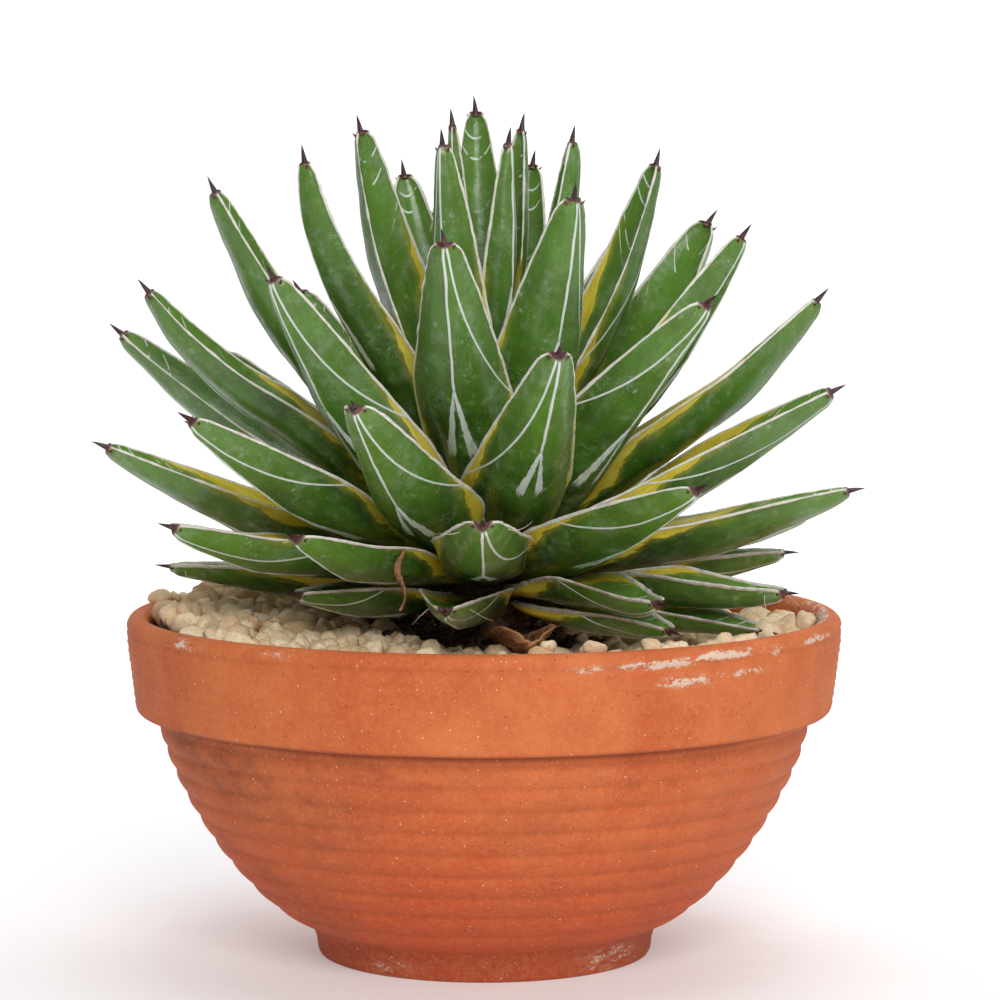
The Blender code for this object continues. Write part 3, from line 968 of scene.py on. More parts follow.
@dataclass(frozen=True)
class SpineFinish:
    """Hard dark spine, grey-brown at the root and almost black at the point."""

    root: Color = (110, 66, 56)
    shaft: Color = (62, 26, 28)
    point: Color = (36, 18, 22)
    scuffed: Color = (150, 122, 108)

    def material(self, effects: SharedEffects) -> bpy.types.Material:
        """Draw the material.

        Args:
            effects: The shared effects.

        Returns:
            The material, which reads the attribute tip_mm, negative along a spine.
        """
        material, sheet, shader = new_material("spine_horn")
        place = sheet.place()
        out = sheet.times(sheet.attribute("tip_mm"), -1.0)
        color = sheet.blend(sheet.ramp(out, 0.0, 1.8), srgb(*self.root), srgb(*self.shaft))
        color = sheet.blend(sheet.ramp(out, 2.5, 6.5), color, srgb(*self.point))
        grain = effects.use(sheet, GroupName.GRAIN, place, Scale=1600.0)
        worn = sheet.ramp(grain, 0.50, 0.66)
        color = sheet.tinted(color, worn, 0.4, self.scuffed)
        sheet.feed(shader.inputs["Base Color"], color)
        sheet.feed(shader.inputs["Roughness"], sheet.ramp(grain, 0.3, 0.7, 0.32, 0.55))
        sheet.feed(shader.inputs["Normal"], sheet.bump(grain, 0.4, 0.0002))
        return material


@dataclass(frozen=True)
class PumiceFinish:
    """Porous pale grit; each stone has its own tint, with painted shade on its lower side."""

    pale: Color = (255, 234, 200)
    tan: Color = (214, 172, 128)
    dusty: Color = (190, 150, 112)
    rust: Color = (196, 150, 108)
    hole: Color = (120, 96, 74)

    def material(self, effects: SharedEffects) -> bpy.types.Material:
        """Draw the material.

        Args:
            effects: The shared effects.

        Returns:
            The material, which reads the attribute tint, which holds each stone's own tint and
            painted shade on its lower side.
        """
        material, sheet, shader = new_material("pumice_gravel")
        place = sheet.place()
        tint = sheet.attribute("tint")
        # tan shows where a stone's own tint is low and where painted shade lies on its lower side
        color = sheet.blend(tint, srgb(*self.tan), srgb(*self.pale))
        patch = effects.mottle(sheet, place, 260.0, 0.40, 0.62)
        color = sheet.tinted(color, patch, 0.28, self.dusty)
        rust = effects.mottle(sheet, place, 120.0, 0.58, 0.70)
        color = sheet.tinted(color, rust, 0.22, self.rust)
        holes = effects.flecks(sheet, place, 1500.0, 0.26, 0.42)
        color = sheet.tinted(color, holes, 0.34, self.hole)
        dark = effects.flecks(sheet, place, 700.0, 0.12, 0.12)
        color = sheet.blend(sheet.times(dark, 0.6), color, srgb(74, 60, 50))
        sheet.feed(shader.inputs["Base Color"], color)
        sheet.feed(shader.inputs["Roughness"], sheet.ramp(patch, 0.0, 1.0, 0.86, 0.97))
        shader.inputs["Specular IOR Level"].default_value = 0.2
        grain = effects.use(sheet, GroupName.GRAIN, place, Scale=1100.0)
        relief = sheet.minus(grain, sheet.times(holes, 0.55))
        sheet.feed(shader.inputs["Normal"], sheet.bump(relief, 0.8, 0.0006))
        return material


@dataclass(frozen=True)
class SoilFinish:
    """Dark potting mix with peat fibres and pale grit dust."""

    peat: Color = (52, 38, 28)
    crumb: Color = (92, 68, 48)
    dust: Color = (146, 122, 96)

    def material(self, effects: SharedEffects) -> bpy.types.Material:
        """Draw the material.

        Args:
            effects: The shared effects.

        Returns:
            The material.
        """
        material, sheet, shader = new_material("potting_soil")
        place = sheet.place()
        lumps = effects.mottle(sheet, place, 190.0, 0.38, 0.62)
        color = sheet.blend(lumps, srgb(*self.peat), srgb(*self.crumb))
        dust = effects.flecks(sheet, place, 520.0, 0.22, 0.14)
        color = sheet.tinted(color, dust, 0.7, self.dust)
        sheet.feed(shader.inputs["Base Color"], color)
        sheet.feed(shader.inputs["Roughness"], sheet.ramp(lumps, 0.0, 1.0, 0.88, 0.98))
        grain = effects.use(sheet, GroupName.GRAIN, place, Scale=800.0)
        sheet.feed(shader.inputs["Normal"], sheet.bump(grain, 0.9, 0.0012))
        return material


@dataclass(frozen=True)
class DryFinish:
    """Shrivelled leaf, fibre and bark: veined brown with paler torn edges."""

    name: str = "dry_growth"
    brown: Color = (146, 88, 52)
    dark: Color = (78, 44, 30)
    straw: Color = (204, 154, 104)

    def material(self, effects: SharedEffects) -> bpy.types.Material:
        """Draw the material.

        Args:
            effects: The shared effects.

        Returns:
            The material, which reads the attribute rim, one at torn edges.
        """
        material, sheet, shader = new_material(self.name)
        place = sheet.place()
        lumps = effects.mottle(sheet, place, 110.0, 0.36, 0.64)
        color = sheet.blend(lumps, srgb(*self.dark), srgb(*self.brown))
        veins = sheet.noise(sheet.stretched(place, (1.0, 0.12, 0.6)), 1300.0, 3.0, 0.6)
        color = sheet.blend(sheet.times(sheet.ramp(veins, 0.48, 0.62), 0.45), color,
                            srgb(*self.straw))
        rim = sheet.times(sheet.attribute("rim"), 0.8)
        color = sheet.blend(rim, color, srgb(*self.straw))
        sheet.feed(shader.inputs["Base Color"], color)
        sheet.feed(shader.inputs["Roughness"], sheet.ramp(veins, 0.3, 0.7, 0.62, 0.86))
        relief = sheet.scaled(veins, 0.7, sheet.times(lumps, 0.3))
        sheet.feed(shader.inputs["Normal"], sheet.bump(relief, 0.7, 0.0006))
        return material


# ------------------------------------------------------------------ bowl
@dataclass(frozen=True)
class LimePatch:
    """A bloom of lime on the bowl, by its middle and its half extents."""

    bearing: float
    height: float
    wide: float
    tall: float
    strength: float = 1.0

    def amount(self, bearing: np.ndarray, height: np.ndarray) -> np.ndarray:
        """Strength of the bloom, fading from its middle outwards.

        Args:
            bearing: Degrees from the front, for each point.
            height: Height of each point.

        Returns:
            The strength at each point, 0 outside the bloom.
        """
        turn = (bearing - self.bearing + 180.0) % 360.0 - 180.0
        far = np.hypot(turn / self.wide, (height - self.height) / self.tall)
        return self.strength * np.clip(1.25 - far, 0.0, 1.0)


@dataclass
class Bowl:
    """Hand-turned terracotta bowl with a collared rim, throwing rings and a foot ring."""

    rim_radius: float = 0.135
    rim_top: float = 0.130
    rim_wall: float = 0.0085
    collar_height: float = 0.0365
    collar_taper: float = 0.0034
    collar_step: float = 0.0080
    body_wall: float = 0.0075
    foot_radius: float = 0.0635
    foot_height: float = 0.012
    foot_ring: float = 0.013
    foot_recess: float = 0.004
    floor: float = 0.009
    drain_radius: float = 0.010
    fullness: tuple[float, float] = (1.4, 1.45)
    ring_spacing: float = 0.0086
    ring_depth: float = 0.0013
    wander: tuple[float, float] = (0.00022, 0.00010)
    nick_depth: float = 0.0011
    steps: int = 288
    lime: tuple[LimePatch, ...] = (
        LimePatch(16.0, 0.1246, 6.5, 0.0021, 1.0), LimePatch(27.0, 0.1250, 10.0, 0.0023, 1.3),
        LimePatch(39.0, 0.1263, 10.5, 0.0026, 1.35), LimePatch(32.0, 0.1184, 8.0, 0.0034, 1.2),
        LimePatch(43.0, 0.1194, 9.0, 0.0026, 1.0), LimePatch(51.0, 0.1254, 5.0, 0.0030, 1.0),
        LimePatch(63.0, 0.1266, 11.0, 0.0024, 1.1), LimePatch(-52.0, 0.1272, 7.0, 0.0032, 1.0),
        LimePatch(-33.0, 0.1276, 5.0, 0.0024, 0.7), LimePatch(6.5, 0.0872, 6.0, 0.0030, 0.5),
        LimePatch(22.0, 0.0860, 6.0, 0.0030, 0.5), LimePatch(48.0, 0.0060, 22.0, 0.0080, 0.9),
        LimePatch(-32.0, 0.0040, 16.0, 0.0045, 0.8), LimePatch(150.0, 0.1240, 14.0, 0.005, 0.8),
        LimePatch(-140.0, 0.1000, 9.0, 0.0060, 0.6), LimePatch(-95.0, 0.0600, 8.0, 0.006, 0.5),
        LimePatch(128.0, 0.0500, 9.0, 0.0090, 0.5))

    def crease(self) -> float:
        """Height of the collar's underside."""
        return self.rim_top - self.collar_height

    def body_radius(self, height: float) -> float:
        """Outer radius of the swelling body at a height.

        Args:
            height: Height over the floor, in metres.

        Returns:
            The radius in metres, without the rings.
        """
        share = (height - self.foot_height) / (self.crease() - self.foot_height)
        rise, swell = self.fullness
        grown = (1.0 - (1.0 - share) ** rise) ** (1.0 / swell)
        neck = self.foot_radius + 0.002
        full = self.rim_radius - self.collar_taper - self.collar_step
        return neck + (full - neck) * grown

    def inside_radius(self, height: float) -> float:
        """Radius of the inner wall at a height.

        Args:
            height: Height over the floor, in metres.

        Returns:
            The radius in metres.
        """
        low, foot = self.crease(), self.foot_recess + self.floor + 0.008
        if height > low + 0.010:
            share = min(1.0, (height - low - 0.010) / (self.rim_top - 0.00425 - low - 0.010))
            return self.rim_radius - self.rim_wall - 0.0015 * (1.0 - share)
        if height > low:
            share = (height - low) / 0.010
            start = self.body_radius(low) - self.body_wall
            return start + (self.rim_radius - self.rim_wall - 0.0015 - start) * share
        return self.body_radius(max(height, foot)) - self.body_wall

    def _outer(self) -> list[tuple[float, float]]:
        """Outer side from the crest down to the foot ring, with rings left by the hand.

        Returns:
            Pairs of radius and height, in metres.
        """
        lip, crease = self.rim_wall / 2, self.crease()
        points = []
        for i in range(15):
            angle = math.radians(90.0 - 90.0 * i / 14)
            points.append((self.rim_radius - lip + lip * math.cos(angle),
                           self.rim_top - lip + lip * math.sin(angle)))
        low = crease + 0.0022
        for i in range(1, 27):
            share = i / 26
            height = self.rim_top - lip + (low - self.rim_top + lip) * share
            radius = self.rim_radius - self.collar_taper * share ** 1.3
            radius -= 0.00035 * math.exp(-((height - self.rim_top + lip + 0.0015) / 0.0007) ** 2)
            radius += 0.00018 * math.sin(height * 1900.0)
            points.append((radius, height))
        foot = self.rim_radius - self.collar_taper
        for i in range(1, 9):
            angle = math.radians(-95.0 * i / 8)
            points.append((foot - 0.0022 + 0.0022 * math.cos(angle),
                           crease + 0.0022 + 0.0022 * math.sin(angle)))
        inner = self.body_radius(crease - 0.0012)
        for share in (0.3, 0.6, 0.85):
            points.append((foot - 0.0022 + (inner - foot + 0.0022) * share,
                           crease + 0.0004 * math.sin(share * 3.0)))
        for i in range(96):
            height = crease - 0.0008 - (crease - 0.0008 - self.foot_height - 0.002) * i / 95
            phase = (height - self.foot_height) / self.ring_spacing
            fade = min(1.0, (crease - height) / 0.012) * min(1.0, (height - 0.0125) / 0.006)
            wave = abs(math.sin(math.pi * phase)) ** 0.8 - 0.6
            points.append((self.body_radius(height) + self.ring_depth * wave * max(0.0, fade),
                           height))
        points += [(self.foot_radius + 0.0021, self.foot_height - 0.0005),
                   (self.foot_radius + 0.0013, self.foot_height - 0.003),
                   (self.foot_radius + 0.0004, self.foot_height - 0.006),
                   (self.foot_radius, 0.0026), (self.foot_radius - 0.0003, 0.0014),
                   (self.foot_radius - 0.0009, 0.0004), (self.foot_radius - 0.0018, 0.0)]
        return points

    def _inner(self) -> list[tuple[float, float]]:
        """Foot ring, recessed underside, drain hole, floor and inner wall.

        Returns:
            Pairs of radius and height, in metres.
        """
        ring = self.foot_radius - self.foot_ring
        top = self.foot_recess + self.floor
        points = [(ring + 0.001, 0.0), (ring, 0.0006), (ring - 0.0015, self.foot_recess - 0.0004),
                  (ring - 0.003, self.foot_recess), (0.035, self.foot_recess + 0.0003),
                  (0.020, self.foot_recess), (self.drain_radius + 0.001, self.foot_recess),
                  (self.drain_radius, self.foot_recess + 0.0012),
                  (self.drain_radius, top - 0.001), (self.drain_radius + 0.001, top)]
        start = self.body_radius(self.foot_height + self.floor) - self.body_wall
        points.append((start - 0.010, top))
        low, high = self.foot_height + self.floor, self.crease()
        for i in range(25):
            height = low + (high - low) * i / 24
            points.append((self.body_radius(height) - self.body_wall, height))
        for i in range(1, 19):
            height = high + (self.rim_top - self.rim_wall / 2 - high) * i / 18
            wave = 0.0002 * math.sin(height * 1500.0)
            points.append((self.inside_radius(height) + wave, height))
        lip = self.rim_wall / 2
        for i in range(1, 13):
            angle = math.radians(180.0 - 90.0 * i / 13)
            points.append((self.rim_radius - lip + lip * math.cos(angle),
                           self.rim_top - lip + lip * math.sin(angle)))
        return points

    def build(self, clay: bpy.types.Material) -> bpy.types.Object:
        """Turn the profile, with a hand-made wander, nicks in the lip and lime blooms.

        Args:
            clay: Finish of the bowl.

        Returns:
            The bowl.
        """
        profile = np.array(self._outer() + self._inner())
        count, turns = len(profile), self.steps
        angle = np.arange(turns) * 2.0 * math.pi / turns
        radius = np.repeat(profile[None, :, 0], turns, 0)
        height = np.repeat(profile[None, :, 1], turns, 0)
        spots = np.stack([radius * np.sin(angle)[:, None], -radius * np.cos(angle)[:, None],
                          height], 2).reshape(-1, 3)
        shift = np.empty(len(spots))
        for i, spot in enumerate(spots):
            point = Vector(spot)
            slow = noise.noise(Vector((spot[0] * 9.0, spot[1] * 9.0, spot[2] * 60.0)))
            fine = noise.noise(point * 240.0)
            shift[i] = self.wander[0] * slow + self.wander[1] * fine
            if spot[2] > self.rim_top - 0.007:
                nick = noise.noise(point * 130.0 + Vector((7.0, 3.0, 1.0)))
                shift[i] -= self.nick_depth * max(0.0, nick - 0.42) / 0.58
        keep = np.clip(spots[:, 2] / 0.004, 0.0, 1.0)
        out = spots[:, :2] / np.maximum(np.hypot(spots[:, 0], spots[:, 1]), 1e-6)[:, None]
        side = np.where(np.tile(np.arange(count), turns) < len(self._outer()), 1.0, -1.0)
        spots[:, :2] += out * (shift * keep * side)[:, None]
        near = np.arange(turns)[:, None] * count + np.arange(count)[None, :]
        after = np.roll(near, -1, 0)
        faces = np.stack([near, np.roll(near, -1, 1), np.roll(after, -1, 1), after], 2)
        mesh = new_mesh("terracotta_bowl_turned", spots.tolist(), faces.reshape(-1, 4).tolist(),
                        clay)
        bearing = np.degrees(np.repeat(angle, count))
        levels = profile[:, 1][None, :].repeat(turns, 0).reshape(-1)
        lime = np.zeros(len(spots))
        for patch in self.lime:
            lime = np.maximum(lime, patch.amount(bearing, levels))
        outside = side > 0
        inner_wall = (~outside) & (levels > self.crease())
        crust = np.clip(1.0 - np.abs((bearing - 85.0 + 180.0) % 360.0 - 180.0) / 60.0, 0.0, 1.0)
        lime = np.where(inner_wall, np.maximum(crust * 1.1, 0.35), lime)
        add_values(mesh, "lime", np.maximum(lime, 0.10))
        # painted shade on the upper left, away from the key light: full on the upper body, half
        # on the collar, mixed with kiln marks
        left = np.clip(1.0 - np.abs((bearing + 52.0 + 180.0) % 360.0 - 180.0) / 46.0, 0.0, 1.0)
        upper = np.clip((levels - 0.045) / 0.030, 0.0, 1.0) * (levels < self.crease() + 0.001)
        add_values(mesh, "left_shade_and_flash", outside * left * (0.25 + 0.75 * upper)
                   * np.where(levels > self.crease() + 0.001, 0.5, 1.0))
        # painted shade in the recesses: under the collar, in the grooves between the throwing
        # rings and in the groove below the lip
        under = np.exp(-((levels - self.crease() + 0.0006) / 0.0012) ** 2)
        phase = (levels - self.foot_height) / self.ring_spacing
        groove_shade = np.exp(-(((phase + 0.5) % 1.0 - 0.5) * self.ring_spacing / 0.0009) ** 2)
        on_body = outside & (levels < self.crease() - 0.004) & (levels > self.foot_height)
        line = np.exp(-((levels - self.rim_top + 0.0058) / 0.0005) ** 2)
        add_values(mesh, "crease", np.where(outside, np.maximum(
            under, np.maximum(groove_shade * on_body * 0.16, line * 0.28)), 0.0))
        bowl = new_piece("terracotta_bowl_turned", mesh)
        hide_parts("terracotta_bowl")
        return bowl


# ------------------------------------------------------------------ fill
@dataclass
class Fill:
    """Levels of the soil and the gravel, shared by all that lies in the bowl."""

    bowl: Bowl
    soil_below_rim: float = 0.020
    mound_below_rim: float = 0.0135
    gravel_below_rim: float = 0.0105
    dish: float = 0.032
    tilt: float = 0.0834
    unevenness: float = 0.0012
    heap_bearing: float = -112.0
    bare_radius: float = 0.034
    bank: float = 0.0114

    def soil_top(self) -> float:
        """Level of the soil under the gravel."""
        return self.bowl.rim_top - self.soil_below_rim

    def mound_top(self) -> float:
        """Level of the soil round the stem."""
        return self.bowl.rim_top - self.mound_below_rim

    def gravel_height(self, x: float, y: float) -> float:
        """Level of the gravel's surface at a spot.

        Args:
            x: Metres to the right of the axis.
            y: Metres behind the axis.

        Returns:
            The height over the floor, in metres.
        """
        heap = heading(self.heap_bearing)
        lift = self.tilt * (heap.x * x + heap.y * y) + self.dish * math.hypot(x, y)
        bumps = math.sin(310.0 * x + 1.3) * math.cos(270.0 * y - 0.6)
        return self.bowl.rim_top - self.gravel_below_rim + lift + self.unevenness * bumps

    def banked(self, x: float, y: float) -> float:
        """Extra height of the loose grit pushed up against the front right of the rim.

        Args:
            x: Metres to the right of the axis.
            y: Metres behind the axis.

        Returns:
            The extra height, in metres.
        """
        turn = math.degrees(math.atan2(x, -y))
        across = min(1.0, max(0.0, (turn + 4.0) / 16.0))
        across *= min(1.0, max(0.0, (122.0 - turn) / 48.0))
        return self.bank * across * min(1.0, max(0.0, (math.hypot(x, y) - 0.093) / 0.023))


@dataclass
class Stone:
    """Shapes of grit: lumps cut by random planes, softened, then pitted."""

    chance: random.Random
    kinds: int = 14
    detail: int = 3
    shapes: list[np.ndarray] = field(default_factory=list)
    faces: Optional[np.ndarray] = None

    def __post_init__(self) -> None:
        """Cut all the shapes."""
        ball = bmesh.new()
        bmesh.ops.create_icosphere(ball, subdivisions=self.detail, radius=1.0)
        ball.verts.ensure_lookup_table()
        points = np.array([vert.co[:] for vert in ball.verts])
        self.faces = np.array([[vert.index for vert in face.verts] for face in ball.faces])
        ball.free()
        for kind in range(self.kinds):
            self.shapes.append(self._cut(points, kind))

    def _cut(self, ball: np.ndarray, kind: int) -> np.ndarray:
        """Cut one shape out of a ball.

        Args:
            ball: Points of the ball.
            kind: Number of the shape, which sets its noise.

        Returns:
            The points of the stone, about one across.
        """
        reach = np.full(len(ball), 1.15)
        for _ in range(self.chance.randint(7, 11)):
            way = random_vector(self.chance).normalized()
            facing = ball @ np.array(way)
            limit = self.chance.uniform(0.62, 0.92) / np.maximum(facing, 1e-3)
            reach = -np.log(np.exp(-9.0 * reach) + np.exp(-9.0 * np.minimum(limit, 3.0))) / 9.0
        lumps = np.array([noise.noise(Vector(spot) * 2.1 + Vector((kind * 5.0, 0, 0))) * 0.13
                          + noise.noise(Vector(spot) * 5.5 + Vector((0, kind * 3.0, 0))) * 0.08
                          for spot in ball])
        squash = np.array([self.chance.uniform(0.8, 1.15), self.chance.uniform(0.75, 1.0),
                           self.chance.uniform(0.6, 0.9)])
        return ball * (reach + lumps)[:, None] * squash * 0.62


@dataclass
class GravelBed:
    """Pumice top dressing: separate stones on a dark bed that is painted shade between them."""

    fill: Fill
    spacing: float = 0.0088
    small: float = 0.0082
    large: float = 0.0140
    parts: int = 4
    pile: float = 0.0045
    row_step: float = 0.87
    jitter: float = 0.38
    typical: float = 0.0100
    upper_share: float = 0.30

    def _spots(self, chance: random.Random) -> list[tuple[float, float, float, float]]:
        """Places and sizes of the stones: a jittered honeycomb and some on top of it.

        Args:
            chance: Source of the jitter.

        Returns:
            For each stone its place in three numbers, and its size.
        """
        spots = []
        rows = int(self.fill.bowl.rim_radius / (self.spacing * self.row_step)) + 1
        for layer in (0, 1):
            for row in range(-rows, rows + 1):
                for step in range(-rows, rows + 1):
                    if layer == 1 and chance.random() > self.upper_share:
                        continue
                    shift = chance.uniform(-self.jitter, self.jitter)
                    x = (step + 0.5 * (row % 2) + shift) * self.spacing
                    shift = chance.uniform(-self.jitter, self.jitter)
                    y = (row + shift) * self.spacing * self.row_step
                    size = chance.triangular(self.small, self.large, self.typical)
                    if layer == 1:
                        size *= chance.uniform(0.45, 0.9)
                    far = math.hypot(x, y)
                    wall = self.fill.bowl.inside_radius(self.fill.soil_top() + 0.008)
                    if far > wall - size * 0.46 or far < self.fill.bare_radius + size * 0.2:
                        continue
                    level = self.fill.gravel_height(x, y) - size * 0.36
                    level += chance.uniform(-0.0018, 0.0014) + layer * 0.0022
                    level += self.pile * max(0.0, x / 0.12) * min(1.0, far / 0.1) ** 3
                    level += self.fill.banked(x, y)
                    spots.append((x, y, level, size))
        return spots

    def build(self, grit: bpy.types.Material, dust: bpy.types.Material) -> list[bpy.types.Object]:
        """Lay the bed and the stones.

        Args:
            grit: Finish of the stones.
            dust: Finish of the bed under them, given the dark soil finish as painted shade
                between the stones.

        Returns:
            The bed, which stands for the packed gravel, and the groups of stones.
        """
        chance = random.Random(41)
        stone = Stone(chance)
        spots = self._spots(chance)
        spots.sort(key=lambda spot: math.atan2(spot[0], -spot[1]))
        made = [self._bed(dust)]
        share = math.ceil(len(spots) / self.parts)
        for part in range(self.parts):
            parts, tints = LooseParts(), []
            for x, y, level, size in spots[part * share:(part + 1) * share]:
                turn = np.array(Matrix.Rotation(chance.uniform(0, 6.28), 3,
                                                random_vector(chance).normalized()))
                shape = stone.shapes[chance.randrange(stone.kinds)] @ turn.T * size
                parts.add(shape + np.array((x, y, level)), stone.faces)
                own = min(1.0, max(0.15, chance.gauss(0.66, 0.24)))
                # painted shade: darker towards the stone's bottom, where it sits in the bed
                low_side_shade = np.clip((shape[:, 2] / size + 0.42) / 0.55, 0.0, 1.0)
                tints.append(own * low_side_shade)
            name = f"gravel_stones_{part + 1}"
            mesh = new_mesh(name, parts.verts, parts.faces, grit, tint=np.concatenate(tints))
            made.append(new_piece(name, mesh))
        log.info("gravel: %d stones", len(spots))
        return made

    def _bed(self, dust: bpy.types.Material) -> bpy.types.Object:
        """Lumpy sheet on the soil, seen between the stones; its dark finish is painted shade in
        the gaps.

        Args:
            dust: Finish of the sheet, dark as painted shade in the gaps.

        Returns:
            The bed, which stands for the packed gravel.
        """
        sectors, rings = 180, 44
        outer = self.fill.bowl.inside_radius(self.fill.soil_top()) - 0.0009
        verts, faces = [], []
        for ring in range(rings + 1):
            radius = self.fill.bare_radius + (outer - self.fill.bare_radius) * ring / rings
            for sector in range(sectors):
                spot = heading(360.0 * sector / sectors) * radius
                level = self.fill.gravel_height(spot.x, spot.y) - 0.0046
                level += self.fill.banked(spot.x, spot.y)
                level += 0.0009 * noise.noise(spot * 210.0)
                if ring in (0, rings):
                    level = self.fill.soil_top() + 0.0003
                verts.append((spot.x, spot.y, level))
        for ring in range(rings):
            for sector in range(sectors):
                after = (sector + 1) % sectors
                faces.append((ring * sectors + sector, (ring + 1) * sectors + sector,
                              (ring + 1) * sectors + after, ring * sectors + after))
        mesh = new_mesh("gravel_bed", verts, faces, dust, tint=[0.1] * len(verts))
        bed = new_piece("gravel_bed", mesh)
        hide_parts("gravel_layer")
        return bed


@dataclass
class Soil:
    """Potting mix: a lumpy mound round the stem with crumbs, bark chips and roots; the dark
    litter near the stem and to the front also stands for the shade under the leaves.
    """

    fill: Fill
    crumbs: int = 520
    roots: int = 110
    chips: int = 90

    def build(self, peat: bpy.types.Material, bark: bpy.types.Material) -> list[bpy.types.Object]:
        """Heap the soil and strew the crumbs.

        Args:
            peat: Finish of the soil.
            bark: Finish of bark chips and roots.

        Returns:
            The soil, its crumbs, and the chips with the roots.
        """
        return [self._mound(peat), self._crumbs(peat), self._chips(bark)]

    def _mound(self, peat: bpy.types.Material) -> bpy.types.Object:
        """The body of soil, turned, with a lumpy top.

        Args:
            peat: Finish of the soil.

        Returns:
            The soil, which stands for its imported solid.
        """
        bowl, top, low = self.fill.bowl, self.fill.mound_top(), self.fill.soil_top()
        profile = [(0.0005, top)]
        profile += [(0.0335 * i / 26, top) for i in range(1, 27)]
        profile += [(0.0338, top - 0.002), (0.0338, low), (0.075, low),
                    (bowl.inside_radius(low) - 0.0006, low)]
        for i in range(16):
            height = low - 0.004 - (low - 0.026) * i / 15
            profile.append((bowl.inside_radius(height) - 0.0006, height))
        floor = bowl.foot_recess + bowl.floor + 0.0003
        profile += [(0.062, floor), (0.0005, floor)]
        steps = 128
        verts = []
        for sector in range(steps):
            way = heading(360.0 * sector / steps)
            for radius, height in profile:
                spot = way * radius + Vector((0, 0, height))
                if height > top - 0.001:
                    lumps = 0.0011 * noise.noise(spot * 180.0)
                    spot.z += lumps + 0.0006 * noise.noise(spot * 620.0)
                verts.append(spot[:])
        mesh = new_mesh("potting_soil_heaped", verts, turned_faces(steps, len(profile)), peat)
        soil = new_piece("potting_soil_heaped", mesh)
        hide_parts("potting_soil")
        return soil

    def _crumbs(self, peat: bpy.types.Material) -> bpy.types.Object:
        """Loose dark crumbs on the mound and between the stones next to it, partly standing for
        the shade under the leaves.

        Args:
            peat: Finish of the soil.

        Returns:
            The crumbs.
        """
        chance = random.Random(17)
        stone = Stone(chance, kinds=6, detail=2)
        parts = LooseParts()
        for _ in range(self.crumbs):
            spot = heading(chance.uniform(0, 360)) * chance.uniform(0.020, 0.043)
            size = chance.triangular(0.0012, 0.0048, 0.0020)
            base = self.fill.mound_top() if spot.length < 0.034 else self.fill.gravel_height(
                spot.x, spot.y) - 0.001
            shape = stone.shapes[chance.randrange(stone.kinds)] @ np.array(
                Matrix.Rotation(chance.uniform(0, 6.28), 3, "X")) * size
            parts.add(shape + np.array((spot.x, spot.y, base + size * 0.25)), stone.faces)
        mesh = new_mesh("soil_crumbs", parts.verts, parts.faces, peat)
        return new_piece("soil_crumbs", mesh)

    def _chips(self, bark: bpy.types.Material) -> bpy.types.Object:
        """Bark chips and thin roots that stick out of the mound.

        Args:
            bark: Finish of the chips and roots.

        Returns:
            The chips and roots.
        """
        chance = random.Random(29)
        stone = Stone(chance, kinds=5, detail=3)
        parts = LooseParts()
        for chip in range(self.chips):
            # half the chips lie to the front, out to 62 mm: soil litter that also stands for the
            # shade under the leaves there
            toward = chance.uniform(0, 360) if chip % 2 else chance.uniform(-32, 34)
            spot = heading(toward) * chance.uniform(0.020, 0.046 if chip % 2 else 0.062)
            size = chance.uniform(0.003, 0.010)
            shape = stone.shapes[chance.randrange(5)] * np.array((1.0, 0.45, 0.28)) * size
            turn = np.array(Matrix.Rotation(chance.uniform(0, 6.28), 3, "Z")
                            @ Matrix.Rotation(chance.uniform(-0.5, 0.5), 3, "Y"))
            level = max(self.fill.mound_top(), self.fill.gravel_height(spot.x, spot.y) - 0.001)
            parts.add(shape @ turn.T + np.array((spot.x, spot.y, level + 0.0006)), stone.faces)
        for root in range(self.roots):
            out = heading(chance.uniform(0, 360))
            on_neck = root % 3 != 0
            start = out * (0.0172 if on_neck else chance.uniform(0.020, 0.034))
            start.z = self.fill.mound_top() + (chance.uniform(0.001, 0.012) if on_neck else 0.0)
            way = Vector((chance.gauss(0, 0.8), chance.gauss(0, 0.8), chance.uniform(-0.5, 0.3)))
            way += out * (1.6 if on_neck else 0.0)
            tube, skin = thread(start, way.normalized(), chance.uniform(0.010, 0.024),
                                chance.uniform(0.0003, 0.0009), chance, 0.45)
            parts.add(np.array(tube), np.array(skin))
        mesh = new_mesh("bark_and_roots", parts.verts, parts.faces, bark,
                        rim=[0.15] * len(parts.verts))
        return new_piece("bark_and_roots", mesh)


